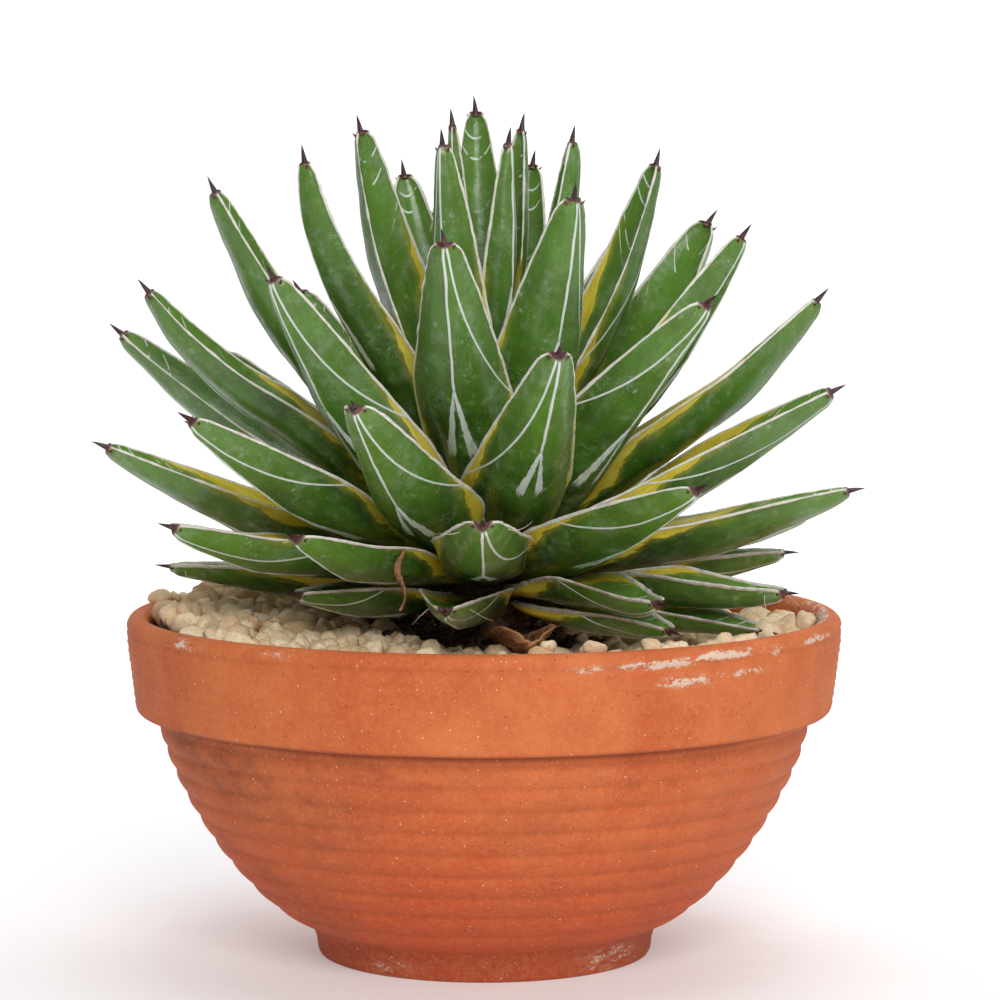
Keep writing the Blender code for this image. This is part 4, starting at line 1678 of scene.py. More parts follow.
def thread(start: Vector, way: Vector, length: float, radius: float,
           chance: random.Random, curl: float, sides: int = 5,
           steps: int = 14) -> tuple[list[tuple[float, float, float]], list[list[int]]]:
    """A thin wandering tube that tapers to its end.

    Args:
        start: Where it starts.
        way: Direction that it starts in.
        length: Its length in metres.
        radius: Its radius at the start.
        chance: Source of the wander.
        curl: How much it bends on its way.
        sides: Corners of its section.
        steps: Number of sections less one.

    Returns:
        The points and the four-cornered faces, drawn to a point at both ends.
    """
    verts, faces = [], []
    bend = random_vector(chance)
    spot, aim = start.copy(), way.copy()
    for step in range(steps + 1):
        side = aim.orthogonal().normalized()
        lift = aim.cross(side).normalized()
        girth = radius * (1.0 - 0.72 * step / steps) * (0.04 if step in (0, steps) else 1.0)
        for corner in range(sides):
            angle = 2.0 * math.pi * corner / sides
            verts.append((spot + side * (girth * math.cos(angle))
                          + lift * (girth * math.sin(angle)))[:])
        wander = random_vector(chance) * 0.12
        aim = (aim + (bend * 0.5 + wander) * (curl / steps * 3.0)).normalized()
        spot = spot + aim * (length / steps)
    for step in range(steps):
        for corner in range(sides):
            after = (corner + 1) % sides
            low, high = step * sides, (step + 1) * sides
            faces.append([low + corner, low + after, high + after, high + corner])
    return verts, faces


# ------------------------------------------------------------------ plant
class LeafRow:
    """One leaf's place: where it points, how far it reaches, and how wide it is."""

    def __init__(self, bearing: float, rise: float, reach: float, roll: float = 0.0,
                 steeper: float = 0.0, share: float = 1.0) -> None:
        """Take one row of the plant's table.

        Args:
            bearing: Degrees from the front, positive to the right.
            rise: Degrees above the horizontal, as seen from the crown.
            reach: Millimetres from the crown to the spine's tip.
            roll: Degrees about the leaf's own line.
            steeper: Degrees by which it starts steeper than it ends.
            share: Width as a share of a full-grown leaf.
        """
        self.bearing, self.rise, self.reach = bearing, rise, reach * MM
        self.roll, self.steeper, self.share = roll, steeper, share


@dataclass
class Crown:
    """The stem's dome and the measures that all leaves share."""

    rim_radius: float = 0.135
    rim_top: float = 0.130
    gap: float = 0.0003
    stem_radius: float = 0.0235
    stem_over_rim: float = 0.042
    crown_over_rim: float = 0.035
    girth_over_rim: float = 0.007
    crowding: float = 1.25
    leaf_width: float = 0.044
    leaf_depth: float = 0.0177
    leaf_flesh: float = 0.0101
    arch: float = 0.45
    lift: float = 0.33
    sector_reach: float = math.radians(75)
    sector_margin: float = 0.0018
    heart: float = 0.70
    spine_length: float = 0.0068
    spine_radius: float = 0.0016
    spine_root: float = 0.0008
    young_share: float = 0.66
    young_from: float = 58.0
    tucked: tuple[tuple[float, ...], ...] = (
        (62, -2, 13, 10, 0, 0.62), (38, 2, 20, 0, 0, 0.70))
    rows: tuple[tuple[float, ...], ...] = (
        (-7, -11, 117, 0, 0, 0.85), (-46, -12, 102, 0, 0, 0.72), (33, -10, 122, 0, 0, 0.80),
        (60, -9, 134, 0, 0, 0.85), (-101, -9, 131, 0, 0, 0.72), (105, -7, 127, 0, 0, 0.80),
        (138, -5, 130, 0, 0, 0.85), (175, -4, 132, 0, 0, 0.85), (-140, -4, 132, 0, 0, 0.85),
        (-58, 2, 138, 0, 0, 0.95), (-32, 2, 130, 0, 0, 0.90), (0, 5, 140, 0, 0, 1.00),
        (88, 5, 144, 0, 3, 0.95), (33, 9, 145, 0, 6, 1.00), (-80, 12, 151, -8, 0, 0.95),
        (114, -1, 145, 0, 3, 0.95), (146, 10, 148, 0, 0, 0.95), (170, 13, 148, 0, 0, 0.95),
        (-164, 10, 148, 0, 0, 0.95), (-138, 11, 150, 0, 0, 0.95), (-49, 18, 150, 0, 3, 1.00),
        (77, 21, 147, 12, 7, 1.00), (-19, 21, 150, 0, 0, 1.00), (-118, 3, 145, 0, 0, 0.95),
        (12, 29, 150, 0, 0, 1.00), (-96, 27, 161, -15, 0, 0.95), (-128, 24, 152, -15, 0, 0.95),
        (86, 34, 156, 0, 0, 1.00), (-80, 35, 159, -15, -4, 1.00), (43, 36, 150, 0, 14, 1.00),
        (158, 30, 150, 0, 0, 0.95), (-176, 33, 150, 0, 0, 0.95), (-43, 41, 150, 0, 0, 1.00),
        (-8, 48, 150, 0, 0, 1.00), (83, 48, 150, -12, 5, 1.00), (110, 51, 150, 30, 0, 1.05),
        (-79, 51, 166, -18, -2, 1.00), (147, 46, 150, 0, 0, 0.95), (-168, 54, 150, 0, 0, 0.95),
        (-139, 37, 146, 0, 0, 0.95), (25, 58, 150, 0, 0, 1.00), (-70, 63, 158, 0, -9, 0.95),
        (100, 64, 155, 16, 0, 0.95), (-146, 67, 147, -15, 0, 0.95), (160, 68, 150, 0, 0, 0.90),
        (-104, 72, 160, -30, 0, 1.05), (-30, 78, 150, 0, 0, 0.90), (96, 77, 152, 0, 0, 1.05),
        (-173, 80, 162, 0, 0, 1.00), (129, 83, 154, 0, 0, 0.80), (-115, 85, 155, 0, 0, 0.70),
        (47, 85, 148, 0, 0, 0.75))

    def center(self) -> Vector:
        """Middle of the dome, on the level of its widest girth."""
        return Vector((0.0, 0.0, self.rim_top + self.girth_over_rim))

    def dome_rise(self) -> float:
        """Height of the dome over its girth."""
        return self.stem_over_rim - self.girth_over_rim

    def leaves(self) -> list[LeafRow]:
        """All the leaves, the two tucked inside the rim first.

        Returns:
            One row for each leaf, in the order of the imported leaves.
        """
        made = []
        for bearing, level, inset, roll, steeper, share in self.tucked:
            out, drop = self.rim_radius - inset * MM, level * MM - self.crown_over_rim
            made.append(LeafRow(bearing, math.degrees(math.atan2(drop, out)),
                                math.hypot(out, drop) / MM, roll, steeper, share))
        return made + [LeafRow(*row) for row in self.rows]

    def base(self, row: LeafRow, lowest: float) -> tuple[Vector, Vector]:
        """Where a leaf leaves the dome, and the way straight out of it there.

        Args:
            row: The leaf's row.
            lowest: Rise of the lowest leaf, in degrees.

        Returns:
            The spot and the unit vector.
        """
        slope = math.radians(90.0 * ((row.rise - lowest) / (90.0 - lowest)) ** self.crowding)
        way, rise = heading(row.bearing), self.dome_rise()
        out = way * (math.cos(slope) / self.stem_radius)
        out.z = math.sin(slope) / rise
        out.normalize()
        spot = way * (self.stem_radius * math.cos(slope))
        spot.z = rise * math.sin(slope)
        return self.center() + spot + out * self.gap, out

    def tip(self, row: LeafRow) -> Vector:
        """Tip of a leaf's spine.

        Args:
            row: The leaf's row.

        Returns:
            The spot.
        """
        lift = math.radians(row.rise)
        spot = heading(row.bearing) * (row.reach * math.cos(lift))
        spot.z = self.rim_top + self.crown_over_rim + row.reach * math.sin(lift)
        return spot

    def width(self, row: LeafRow) -> float:
        """Width of a leaf; young leaves near the heart are narrower."""
        youth = max(0.0, (row.rise - self.young_from) / (90.0 - self.young_from))
        return self.leaf_width * row.share * (1.0 - (1.0 - self.young_share) * youth)

    def walls(self, row: LeafRow, rows: Sequence[LeafRow]) -> list[Vector]:
        """Outward normals of the planes between a leaf and each of its neighbours.

        Args:
            row: The leaf's row.
            rows: Rows of all the leaves.

        Returns:
            The unit normals.
        """
        own, found = (self.tip(row) - self.center()).normalized(), []
        for neighbour in rows:
            other = (self.tip(neighbour) - self.center()).normalized()
            if neighbour is row or own.angle(other) > self.sector_reach:
                continue
            middle = (own + other).normalized()
            sideways = Vector((0, 0, 1)).cross(middle).normalized()
            upward = middle.cross(sideways)
            apart = other - own
            found.append((sideways * (apart.dot(sideways) / self.leaf_width ** 2)
                          + upward * (apart.dot(upward) / self.leaf_depth ** 2)).normalized())
        return found


@dataclass
class Leaf:
    """One leaf with its horny margins, printed keel, shoulders and three spines."""

    crown: Crown
    row: LeafRow
    rows: list[LeafRow]
    number: int
    seed: float
    age: float
    outline: tuple[tuple[float, float, float], ...] = (
        (0.00, 0.60, 0.52), (0.12, 0.90, 0.78), (0.25, 1.00, 0.97), (0.38, 0.93, 1.00),
        (0.54, 0.80, 0.94), (0.71, 0.63, 0.78), (0.87, 0.43, 0.56), (0.97, 0.27, 0.37),
        (1.00, 0.15, 0.24))
    section: tuple[tuple[float, float, bool], ...] = (
        (-1.00, 0.00, False), (-0.50, -0.75, True), (0.00, -1.00, True), (0.50, -0.75, True),
        (1.00, 0.00, False), (0.64, -0.66, False), (0.00, -1.00, False), (-0.64, -0.66, False))
    stations: int = 96
    shoulder_steps: int = 7
    half_points: tuple[float, ...] = (0.0, 0.018, 0.04, 0.07, 0.12, 0.20, 0.31, 0.44, 0.58,
                                      0.71, 0.82, 0.90, 0.955, 0.985, 1.0)
    bead: float = 0.00034
    bead_reach: float = 0.0007
    side_spine: float = 0.0022
    side_spine_radius: float = 0.00068
    keel_height: float = 0.00022
    keel_reach: float = 0.0006
    dents: tuple[float, float] = (0.00050, 0.00016)
    wrinkle: float = 0.00016
    wave: float = 0.00030
    ridge: float = 0.65

    def _fit(self, ring: list[Vector], own: Vector, walls: list[Vector]) -> list[Vector]:
        """Draw a section in until it is inside the leaf's own room.

        Args:
            ring: The corners of the section.
            own: Unit vector from the crown to the tip.
            walls: Normals of the planes round the leaf's room.

        Returns:
            The corners, drawn in.
        """
        crown, center = self.crown, self.crown.center()
        middle = ring[2].lerp(ring[6], crown.heart)
        axis = own * (middle - center).length
        share = 0.0
        for wall in walls:
            room, most = -wall.dot(middle - center), -wall.dot(axis)
            need = min(crown.sector_margin, most * 0.6)
            if room < need:
                share = max(share, (need - room) / (most - room))
        inside = middle.lerp(center + axis, share)
        fitted = []
        for corner in ring:
            corner, keep = corner + inside - middle, 1.0
            for wall in walls:
                room = -wall.dot(inside - center) - crown.gap / 2
                excess = wall.dot(corner - center) + crown.gap / 2
                if excess > 0:
                    keep = min(keep, room / (room + excess))
            fitted.append(inside.lerp(corner, keep))
        return fitted

    def rings(self) -> tuple[np.ndarray, Vector]:
        """Sections of the leaf from its base to the spine's root, and the spine's tip.

        Returns:
            The corners of all sections, and the tip.
        """
        crown, row = self.crown, self.row
        base, out = crown.base(row, min(other.rise for other in self.rows))
        tip = crown.tip(row)
        length = (tip - base).length
        bearing = math.radians(row.bearing)
        across = Vector((math.cos(bearing), math.sin(bearing), 0))
        start = (out + (tip - base).normalized()).normalized()
        start = Matrix.Rotation(math.radians(-row.steeper), 3, across) @ start
        bend = base + start * (crown.arch * length)
        half = crown.width(row) / 2
        size = half / (crown.leaf_width / 2)
        depth, hollow = crown.leaf_depth * size, (crown.leaf_depth - crown.leaf_flesh) * size
        blade = 1.0 - crown.spine_length / length
        walls = crown.walls(row, self.rows)
        own = (tip - crown.center()).normalized()
        rings = []
        for along, wide, deep in self.outline + ((1.0 + crown.spine_root / length, -1, -1),):
            t = along * blade
            spot = base * (1 - t) ** 2 + bend * (2 * t * (1 - t)) + tip * t ** 2
            way = ((bend - base) * (1 - t) + (tip - bend) * t).normalized()
            up = way.cross(across).normalized()
            turn = Matrix.Rotation(math.radians(row.roll) * along, 3, way)
            side, lift, ring = turn @ across, turn @ up, []
            for x, z, in_channel in self.section:
                if wide < 0:
                    z = -z if in_channel else z
                    ring.append(spot + (side * x + lift * z) * crown.spine_radius)
                    continue
                height = (z * (hollow if in_channel else depth) + depth * crown.lift) * deep
                ring.append(spot + side * (x * wide * half) + lift * height)
            rings.append(self._fit(ring, own, walls))
        way = (sum(rings[1], Vector()) - sum(rings[0], Vector())).normalized()
        seat = [corner + way * ((base - corner).dot(out) / way.dot(out))
                for corner in rings[0]]
        rings[0] = self._fit(seat, own, walls)
        return np.array([[corner[:] for corner in ring] for ring in rings]), tip

    def _skin(self, rings: np.ndarray) -> np.ndarray:
        """Fine sections: smooth along the leaf, round in section, creased at the margins.

        Args:
            rings: The corners of the plain sections.

        Returns:
            The points, one row for each fine section.
        """
        count = len(rings) - 1
        places = []
        for i in range(self.stations):
            share = i / (self.stations - 1)
            places.append((count - 1) * (1.0 - (1.0 - share) ** 1.25))
        body = catmull(rings[:count], np.array(places))
        root, last = rings[-1], body[-1]
        middle, goal = last.mean(0), root.mean(0)
        rounded = []
        for i in range(1, self.shoulder_steps + 1):
            angle = 0.5 * math.pi * i / self.shoulder_steps
            girth = math.cos(angle) * 0.75 + 0.25 * (1.0 - i / self.shoulder_steps)
            shape = (last - middle) * girth + (root - goal) * (1.0 - girth) * 0.85
            rounded.append(shape + middle + (goal - middle) * math.sin(angle) * 1.3)
        coarse = np.concatenate([body, np.array(rounded)])
        half = np.array(self.half_points)
        side = np.concatenate([half * 2.0, 4.0 - half[-2::-1] * 2.0])
        inner = catmull(coarse[:, [0, 1, 2, 3, 4]].transpose(1, 0, 2), side)
        outer = catmull(coarse[:, [4, 5, 6, 7, 0]].transpose(1, 0, 2), side)
        first = catmull(coarse[:, [4, 5, 6]].transpose(1, 0, 2), side[side <= 2.0])
        second = catmull(coarse[:, [6, 7, 0]].transpose(1, 0, 2), side[side > 2.0] - 2.0)
        outer = outer * (1.0 - self.ridge) + np.concatenate([first, second]) * self.ridge
        return np.concatenate([inner[:-1], outer[:-1]]).transpose(1, 0, 2)

    def _measures(self, skin: np.ndarray) -> tuple[np.ndarray, np.ndarray, np.ndarray]:
        """Distances over the skin, in metres: from the tip, from the margin, from the middle.

        Args:
            skin: The points of the skin.

        Returns:
            The three distances at each point.
        """
        rows, cols = skin.shape[:2]
        half = cols // 2
        centers = skin.mean(1)
        steps = np.linalg.norm(np.diff(centers, axis=0), axis=1)
        tip = np.concatenate([[0.0], np.cumsum(steps[::-1])])[::-1]
        around = np.linalg.norm(np.roll(skin, -1, 1) - skin, axis=2)
        edge, mid = np.zeros((rows, cols)), np.zeros((rows, cols))
        for first, sign in ((0, -1.0), (half, 1.0)):
            run = np.concatenate([np.zeros((rows, 1)),
                                  np.cumsum(around[:, first:first + half], axis=1)], 1)
            whole, cells = run[:, -1:], np.arange(first, first + half)
            edge[:, cells] = sign * np.minimum(run, whole - run)[:, :-1]
            center = run[:, half // 2:half // 2 + 1]
            mid[:, cells] = (run - center)[:, :-1] * (1.0 if first == 0 else -1.0)
        return np.repeat(tip[:, None], cols, 1), edge, mid

    def _relief(self, skin: np.ndarray, tip: np.ndarray, edge: np.ndarray,
                mid: np.ndarray) -> np.ndarray:
        """Raise the horny margins and the keel line, and dent and wrinkle the flesh.

        Args:
            skin: The points of the skin.
            tip: Distances from the tip.
            edge: Distances from the margin, negative in the channel.
            mid: Distances from the middle.

        Returns:
            The moved points.
        """
        along = np.roll(skin, -1, 0) - skin
        along[-1] = along[-2]
        around = np.roll(skin, -1, 1) - np.roll(skin, 1, 1)
        normal = np.cross(along, around)
        normal /= np.maximum(np.linalg.norm(normal, axis=2, keepdims=True), 1e-12)
        center = skin.mean(1, keepdims=True)
        rows, cols = skin.shape[:2]
        # the channel is concave, so the keel side tells which way is out
        keel = slice(cols // 2 + 4, cols - 4)
        if np.sum(normal[:, keel] * (skin - center)[:, keel]) < 0:
            normal = -normal
        raised = self.bead * np.exp(-(edge / self.bead_reach) ** 2)
        length = tip.max()
        outer = edge > 0
        keel_line = self.keel_height * np.exp(-(mid / self.keel_reach) ** 2) * outer
        raised += keel_line * np.clip((0.46 * length - tip) / (0.04 * length), 0.0, 1.0)
        fade = np.clip(tip / 0.004, 0.0, 1.0)
        offset = Vector((self.number * 3.7, self.number * 1.3, 0.0))
        for i in range(rows):
            for j in range(cols):
                spot = Vector(skin[i, j])
                dent = noise.noise(spot * 55.0 + offset) * self.dents[0]
                dent += noise.noise(spot * 150.0 + offset) * self.dents[1]
                near = abs(edge[i, j])
                fibre = noise.noise(Vector((mid[i, j] * 950.0, tip[i, j] * 95.0,
                                            self.number * 2.1 + (3.3 if outer[i, j] else 0.0))))
                wrinkle = fibre * self.wrinkle * math.exp(-near / 0.005)
                uneven = noise.noise(Vector((tip[i, j] * 260.0, self.number, mid[i, j] * 30.0)))
                wave = uneven * self.wave * math.exp(-(near / 0.0016) ** 2)
                raised[i, j] += (dent + wrinkle + wave) * fade[i, j]
        return skin + normal * raised[:, :, None]

    def _spike(self, root: Vector, way: Vector, bend: Vector, length: float, radius: float,
               sides: int = 12, steps: int = 12) -> tuple[list, list, list]:
        """A horny spine: thick at its root, slightly hooked, with a fine point.

        Args:
            root: Middle of its root.
            way: Unit vector along it.
            bend: How far its tip is bent aside, as a share of its length.
            length: Its length.
            radius: Its radius at the root.
            sides: Corners of its section.
            steps: Number of sections less one.

        Returns:
            Its points, its faces, and minus the distance of each point from the root.
        """
        verts, faces, out = [], [], []
        side = way.orthogonal().normalized()
        lift = way.cross(side).normalized()
        for step in range(steps + 1):
            share = step / steps
            spot = root + way * (length * share) + bend * (length * share * share)
            girth = radius * (1.0 - share) ** 0.78 * (1.0 + 0.25 * math.exp(-(share / 0.1) ** 2))
            girth = max(girth, radius * 0.02)
            for corner in range(sides):
                angle = 2.0 * math.pi * corner / sides
                ridge = 1.0 + 0.07 * math.cos(3.0 * angle)
                verts.append((spot + (side * math.cos(angle) + lift * math.sin(angle))
                              * (girth * ridge))[:])
                out.append(-length * share)
        for step in range(steps):
            for corner in range(sides):
                after = (corner + 1) % sides
                low, high = step * sides, (step + 1) * sides
                faces.append([low + corner, low + after, high + after, high + corner])
        faces.append(list(range(steps * sides, (steps + 1) * sides)))
        return verts, faces, out

    def build(self, skin_finish: bpy.types.Material,
              spine_finish: bpy.types.Material) -> bpy.types.Object:
        """Loft the leaf, raise its relief, and set its spines.

        Args:
            skin_finish: Finish of the blade.
            spine_finish: Finish of the spines.

        Returns:
            The leaf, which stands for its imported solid.
        """
        rings, apex = self.rings()
        smooth = self._skin(rings)
        tip, edge, mid = self._measures(smooth)
        skin = self._relief(smooth, tip, edge, mid)
        rows, cols = skin.shape[:2]
        verts = skin.reshape(-1, 3).tolist()
        base = np.arange(rows - 1)[:, None] * cols
        near = np.arange(cols)[None, :]
        after = (near + 1) % cols
        faces = np.stack([base + near, base + cols + near, base + cols + after, base + after],
                         2).reshape(-1, 4).tolist()
        faces.append(list(range(cols)))
        faces.append(list(range((rows - 1) * cols, rows * cols))[::-1])
        numbers = {"tip_mm": (tip.reshape(-1) / MM).tolist(),
                   "edge_mm": (edge.reshape(-1) / MM).tolist(),
                   "mid_mm": (mid.reshape(-1) / MM).tolist()}
        blade_faces = len(faces)
        root = Vector(rings[-1].mean(0))
        way = (apex - root).normalized()
        last = rings[-2]
        across = Vector(last[4] - last[0]).normalized()
        up = across.cross(way).normalized()
        half = Vector(last[4] - last[0]).length / 2
        chance = random.Random(self.number * 7 + 3)
        spikes = [(root - way * 0.0012, way, (across * chance.uniform(-0.10, 0.10)
                   + up * chance.uniform(-0.06, 0.12)), (apex - root).length + 0.0012,
                   self.crown.spine_radius * (0.84 - 0.18 * self.age))]
        for sign in (-1.0, 1.0):
            start = Vector(last.mean(0)) + across * (sign * half * 0.80) - way * 0.0009
            aim = (way * chance.uniform(0.55, 0.85) + across * sign).normalized()
            spikes.append((start, aim, way * 0.25, self.side_spine * chance.uniform(0.75, 1.1),
                           self.side_spine_radius))
        for start, aim, bend, length, radius in spikes:
            points, skins, out = self._spike(start, aim, bend, length, radius)
            faces += [[index + len(verts) for index in face] for face in skins]
            verts += points
            numbers["tip_mm"] += [value / MM for value in out]
            numbers["edge_mm"] += [0.0] * len(points)
            numbers["mid_mm"] += [0.0] * len(points)
        for name, value in (("length_mm", float(tip.max() / MM)), ("seed", self.seed),
                            ("age", self.age)):
            numbers[name] = [value] * len(verts)
        mesh = new_mesh(f"agave_leaf_{self.number:02d}", verts, faces, skin_finish, **numbers)
        mesh.materials.append(spine_finish)
        picks = np.zeros(len(mesh.polygons), np.int32)
        picks[blade_faces:] = 1
        mesh.polygons.foreach_set("material_index", picks)
        mesh.update()
        leaf = new_piece(f"agave_leaf_{self.number:02d}", mesh)
        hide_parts(f"leaf_{self.number:02d}")
        return leaf


@dataclass
class Stem:
    """Short barky stem that the leaves stand on."""

    crown: Crown
    neck_radius: float = 0.017
    neck_depth: float = 0.009
    foot_below_rim: float = 0.0132

    def build(self, bark: bpy.types.Material) -> bpy.types.Object:
        """Turn the stem and roughen it with old leaf scars.

        Args:
            bark: Finish of the stem.

        Returns:
            The stem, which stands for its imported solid.
        """
        crown = self.crown
        girth, steps = crown.center().z, 96
        profile = [(0.0004, girth + crown.dome_rise())]
        for i in range(1, 25):
            angle = math.radians(90.0 - 90.0 * i / 24)
            profile.append((crown.stem_radius * math.cos(angle),
                            girth + crown.dome_rise() * math.sin(angle)))
        low = crown.rim_top - self.foot_below_rim
        for i in range(1, 7):
            share = i / 6
            profile.append((crown.stem_radius + (self.neck_radius - crown.stem_radius) * share,
                            girth - self.neck_depth * share))
        for i in range(1, 7):
            profile.append((self.neck_radius, girth - self.neck_depth
                            + (low - girth + self.neck_depth) * i / 6))
        verts = []
        for sector in range(steps):
            way = heading(360.0 * sector / steps)
            for radius, height in profile:
                spot = way * radius + Vector((0, 0, height))
                scars = math.sin(height * 1300.0 + 3.0 * noise.noise(spot * 60.0))
                spot -= way * min(radius, 0.0006) * (0.5 + 0.5 * scars)
                verts.append(spot[:])
        mesh = new_mesh("stem_bark", verts, turned_faces(steps, len(profile)), bark,
                        rim=[0.0] * len(verts))
        stem = new_piece("stem_bark", mesh)
        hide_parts("stem")
        return stem


@dataclass
class Rosette:
    """All the leaves on their stem."""

    crown: Crown

    def build(self, skin: bpy.types.Material, spine: bpy.types.Material,
              bark: bpy.types.Material) -> list[bpy.types.Object]:
        """Grow the stem and every leaf.

        Args:
            skin: Finish of the blades.
            spine: Finish of the spines.
            bark: Finish of the stem.

        Returns:
            The stem and the leaves.
        """
        rows = self.crown.leaves()
        made = [Stem(self.crown).build(bark)]
        chance = random.Random(5)
        for number, row in enumerate(rows, start=1):
            age = min(1.0, max(0.0, (6.0 - row.rise) / 14.0))
            leaf = Leaf(self.crown, row, rows, number, chance.random(), age)
            made.append(leaf.build(skin, spine))
        return made


@dataclass
class DeadGrowth:
    """The shrivelled leaf on the soil, a dried strip, torn fibres and peeled margins."""

    crown: Crown
    bearing: float = 14.0
    thickness: float = 0.0014
    stations: tuple[tuple[float, float, float, float], ...] = (
        (20.3, -8.4, 8.1, 0.20), (32.4, -8.1, 13.5, 0.35), (45.9, -6.8, 18.9, 0.50),
        (59.4, -5.4, 21.6, 0.60), (72.9, -4.6, 20.3, 0.55))

    def build(self, dry: bpy.types.Material, pale: bpy.types.Material) -> list[bpy.types.Object]:
        """Lay out the dead growth.

        Args:
            dry: Finish of the brown leaf and the strip.
            pale: Finish of the bleached fibres.

        Returns:
            The pieces.
        """
        return [self._leaf(dry), self._strip(dry), self._fibres(pale)]

    def _leaf(self, dry: bpy.types.Material) -> bpy.types.Object:
        """The curled leaf: a wrinkled trough with a torn, thin edge.

        Args:
            dry: Finish of the leaf.

        Returns:
            The leaf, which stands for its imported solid.
        """
        cols, rows = 33, 60
        stations = np.array(self.stations)
        fine = catmull(stations, np.linspace(0, len(stations) - 1, rows))
        way, verts, rim = heading(self.bearing), [], []
        across = way.cross(Vector((0, 0, 1)))
        for layer in (0, 1):
            for i, (along, level, width, curl) in enumerate(fine):
                far = i / (rows - 1)
                blunt = 1.0 - 0.55 * max(0.0, (far - 0.90) / 0.10) ** 2
                half = width * MM / 2 * blunt
                for j in range(cols):
                    share = 2.0 * j / (cols - 1) - 1.0
                    torn = 1.0 - 0.10 * abs(noise.noise(Vector((far * 9.0, share * 0.6, 4.0))))
                    sag = half * curl * 1.45 * (share * share - 0.42) + 0.0022 * far ** 3
                    spot = way * (along * MM) + across * (share * half * torn)
                    spot.z = self.crown.rim_top + level * MM + sag
                    crease = noise.noise(Vector((far * 7.0, share * 4.5, 1.0))) * 0.0011
                    crease += noise.noise(Vector((far * 16.0, share * 13.0, 2.0))) * 0.0005
                    spot.z += crease * min(1.0, 4.0 * (1.0 - abs(share)) + 0.35)
                    if layer:
                        spot.z += self.thickness * (1.0 - 0.72 * abs(share)) * 0.8
                    verts.append(spot[:])
                    rim.append(max(0.0, (abs(share) - 0.86) / 0.14, (far - 0.95) / 0.05))
        faces, sheet = [], rows * cols
        for i in range(rows - 1):
            for j in range(cols - 1):
                a, b = i * cols + j, (i + 1) * cols + j
                faces.append((a, b, b + 1, a + 1))
                faces.append((sheet + a, sheet + a + 1, sheet + b + 1, sheet + b))
            for edge, turn in ((0, 1), (cols - 1, -1)):
                a, b = i * cols + edge, (i + 1) * cols + edge
                faces.append((a, sheet + a, sheet + b, b)[::turn])
        for j in range(cols - 1):
            for end, turn in ((0, -1), (rows - 1, 1)):
                a = end * cols + j
                faces.append((a, sheet + a, sheet + a + 1, a + 1)[::turn])
        mesh = new_mesh("shrivelled_leaf", verts, faces, dry, rim=rim)
        leaf = new_piece("shrivelled_leaf", mesh)
        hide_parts("dry_leaf")
        return leaf

    def _strip(self, dry: bpy.types.Material) -> bpy.types.Object:
        """Twisted reddish strip, the remains of a leaf, that leans between two leaves.

        Args:
            dry: Finish of the strip.

        Returns:
            The strip.
        """
        way, rows, cols = heading(-20.5), 46, 10
        low = way * 0.0850 + Vector((0, 0, self.crown.rim_top + 0.0090))
        high = way * 0.0800 + Vector((-0.001, 0, self.crown.rim_top + 0.0310))
        axis = (high - low).normalized()
        verts, faces, rim = [], [], []
        for i in range(rows):
            share = i / (rows - 1)
            spot = low.lerp(high, share)
            spot += Vector((0.0016 * math.sin(share * 7.0), 0.0012 * math.sin(share * 5.0), 0))
            girth = 0.0010 * math.sin(math.pi * min(0.98, share * 0.92 + 0.06)) ** 0.5
            side = Matrix.Rotation(share * 3.2, 3, axis) @ axis.orthogonal().normalized()
            lift = axis.cross(side)
            for j in range(cols):
                angle = 2 * math.pi * j / cols
                spread = 1.0 + 0.35 * noise.noise(Vector((share * 14.0, angle, 6.0)))
                verts.append((spot + side * (math.cos(angle) * girth * 1.5 * spread)
                              + lift * (math.sin(angle) * girth * 0.5 * spread))[:])
                rim.append(0.25)
        for i in range(rows - 1):
            for j in range(cols):
                after = (j + 1) % cols
                faces.append((i * cols + j, i * cols + after, (i + 1) * cols + after,
                              (i + 1) * cols + j))
        faces.append(list(range(cols))[::-1])
        faces.append(list(range((rows - 1) * cols, rows * cols)))
        mesh = new_mesh("dried_strip", verts, faces, dry, rim=rim)
        return new_piece("dried_strip", mesh)

    def _fibres(self, pale: bpy.types.Material) -> bpy.types.Object:
        """Bleached threads: peeled from leaf margins, and loose on the gravel.

        Args:
            pale: Finish of the threads.

        Returns:
            The threads.
        """
        chance = random.Random(11)
        rows, starts, parts = self.crown.leaves(), [], LooseParts()
        for number in (3, 6, 7, 14):
            row = rows[number - 1]
            tip, across = self.crown.tip(row), heading(row.bearing + 90.0)
            back = (self.crown.center() - tip).normalized()
            for side in (-1.0, 1.0):
                spot = tip + back * chance.uniform(0.009, 0.030)
                spot += across * (side * chance.uniform(0.0060, 0.0085))
                starts.append((spot, across * side + back * chance.uniform(-0.4, 0.4)
                               + Vector((0, 0, chance.uniform(-1.2, -0.4))),
                               chance.uniform(0.006, 0.012), 0.00016))
        for bearing, far, count in ((-62.0, 0.098, 4), (-66.0, 0.106, 3)):
            for _ in range(count):
                spot = heading(bearing + chance.uniform(-5, 5))
                spot *= far + chance.uniform(-0.006, 0.006)
                spot.z = self.crown.rim_top - 0.0010 + 0.004 * chance.random()
                starts.append((spot, heading(chance.uniform(0, 360)) + Vector((0, 0, 0.3)),
                               chance.uniform(0.006, 0.013), 0.00018))
        for spot, way, length, radius in starts:
            tube, skin = thread(spot, way.normalized(), length, radius, chance, 0.5)
            parts.add(np.array(tube), np.array(skin))
        mesh = new_mesh("dry_fibres", parts.verts, parts.faces, pale,
                        rim=[1.0] * len(parts.verts))
        return new_piece("dry_fibres", mesh)


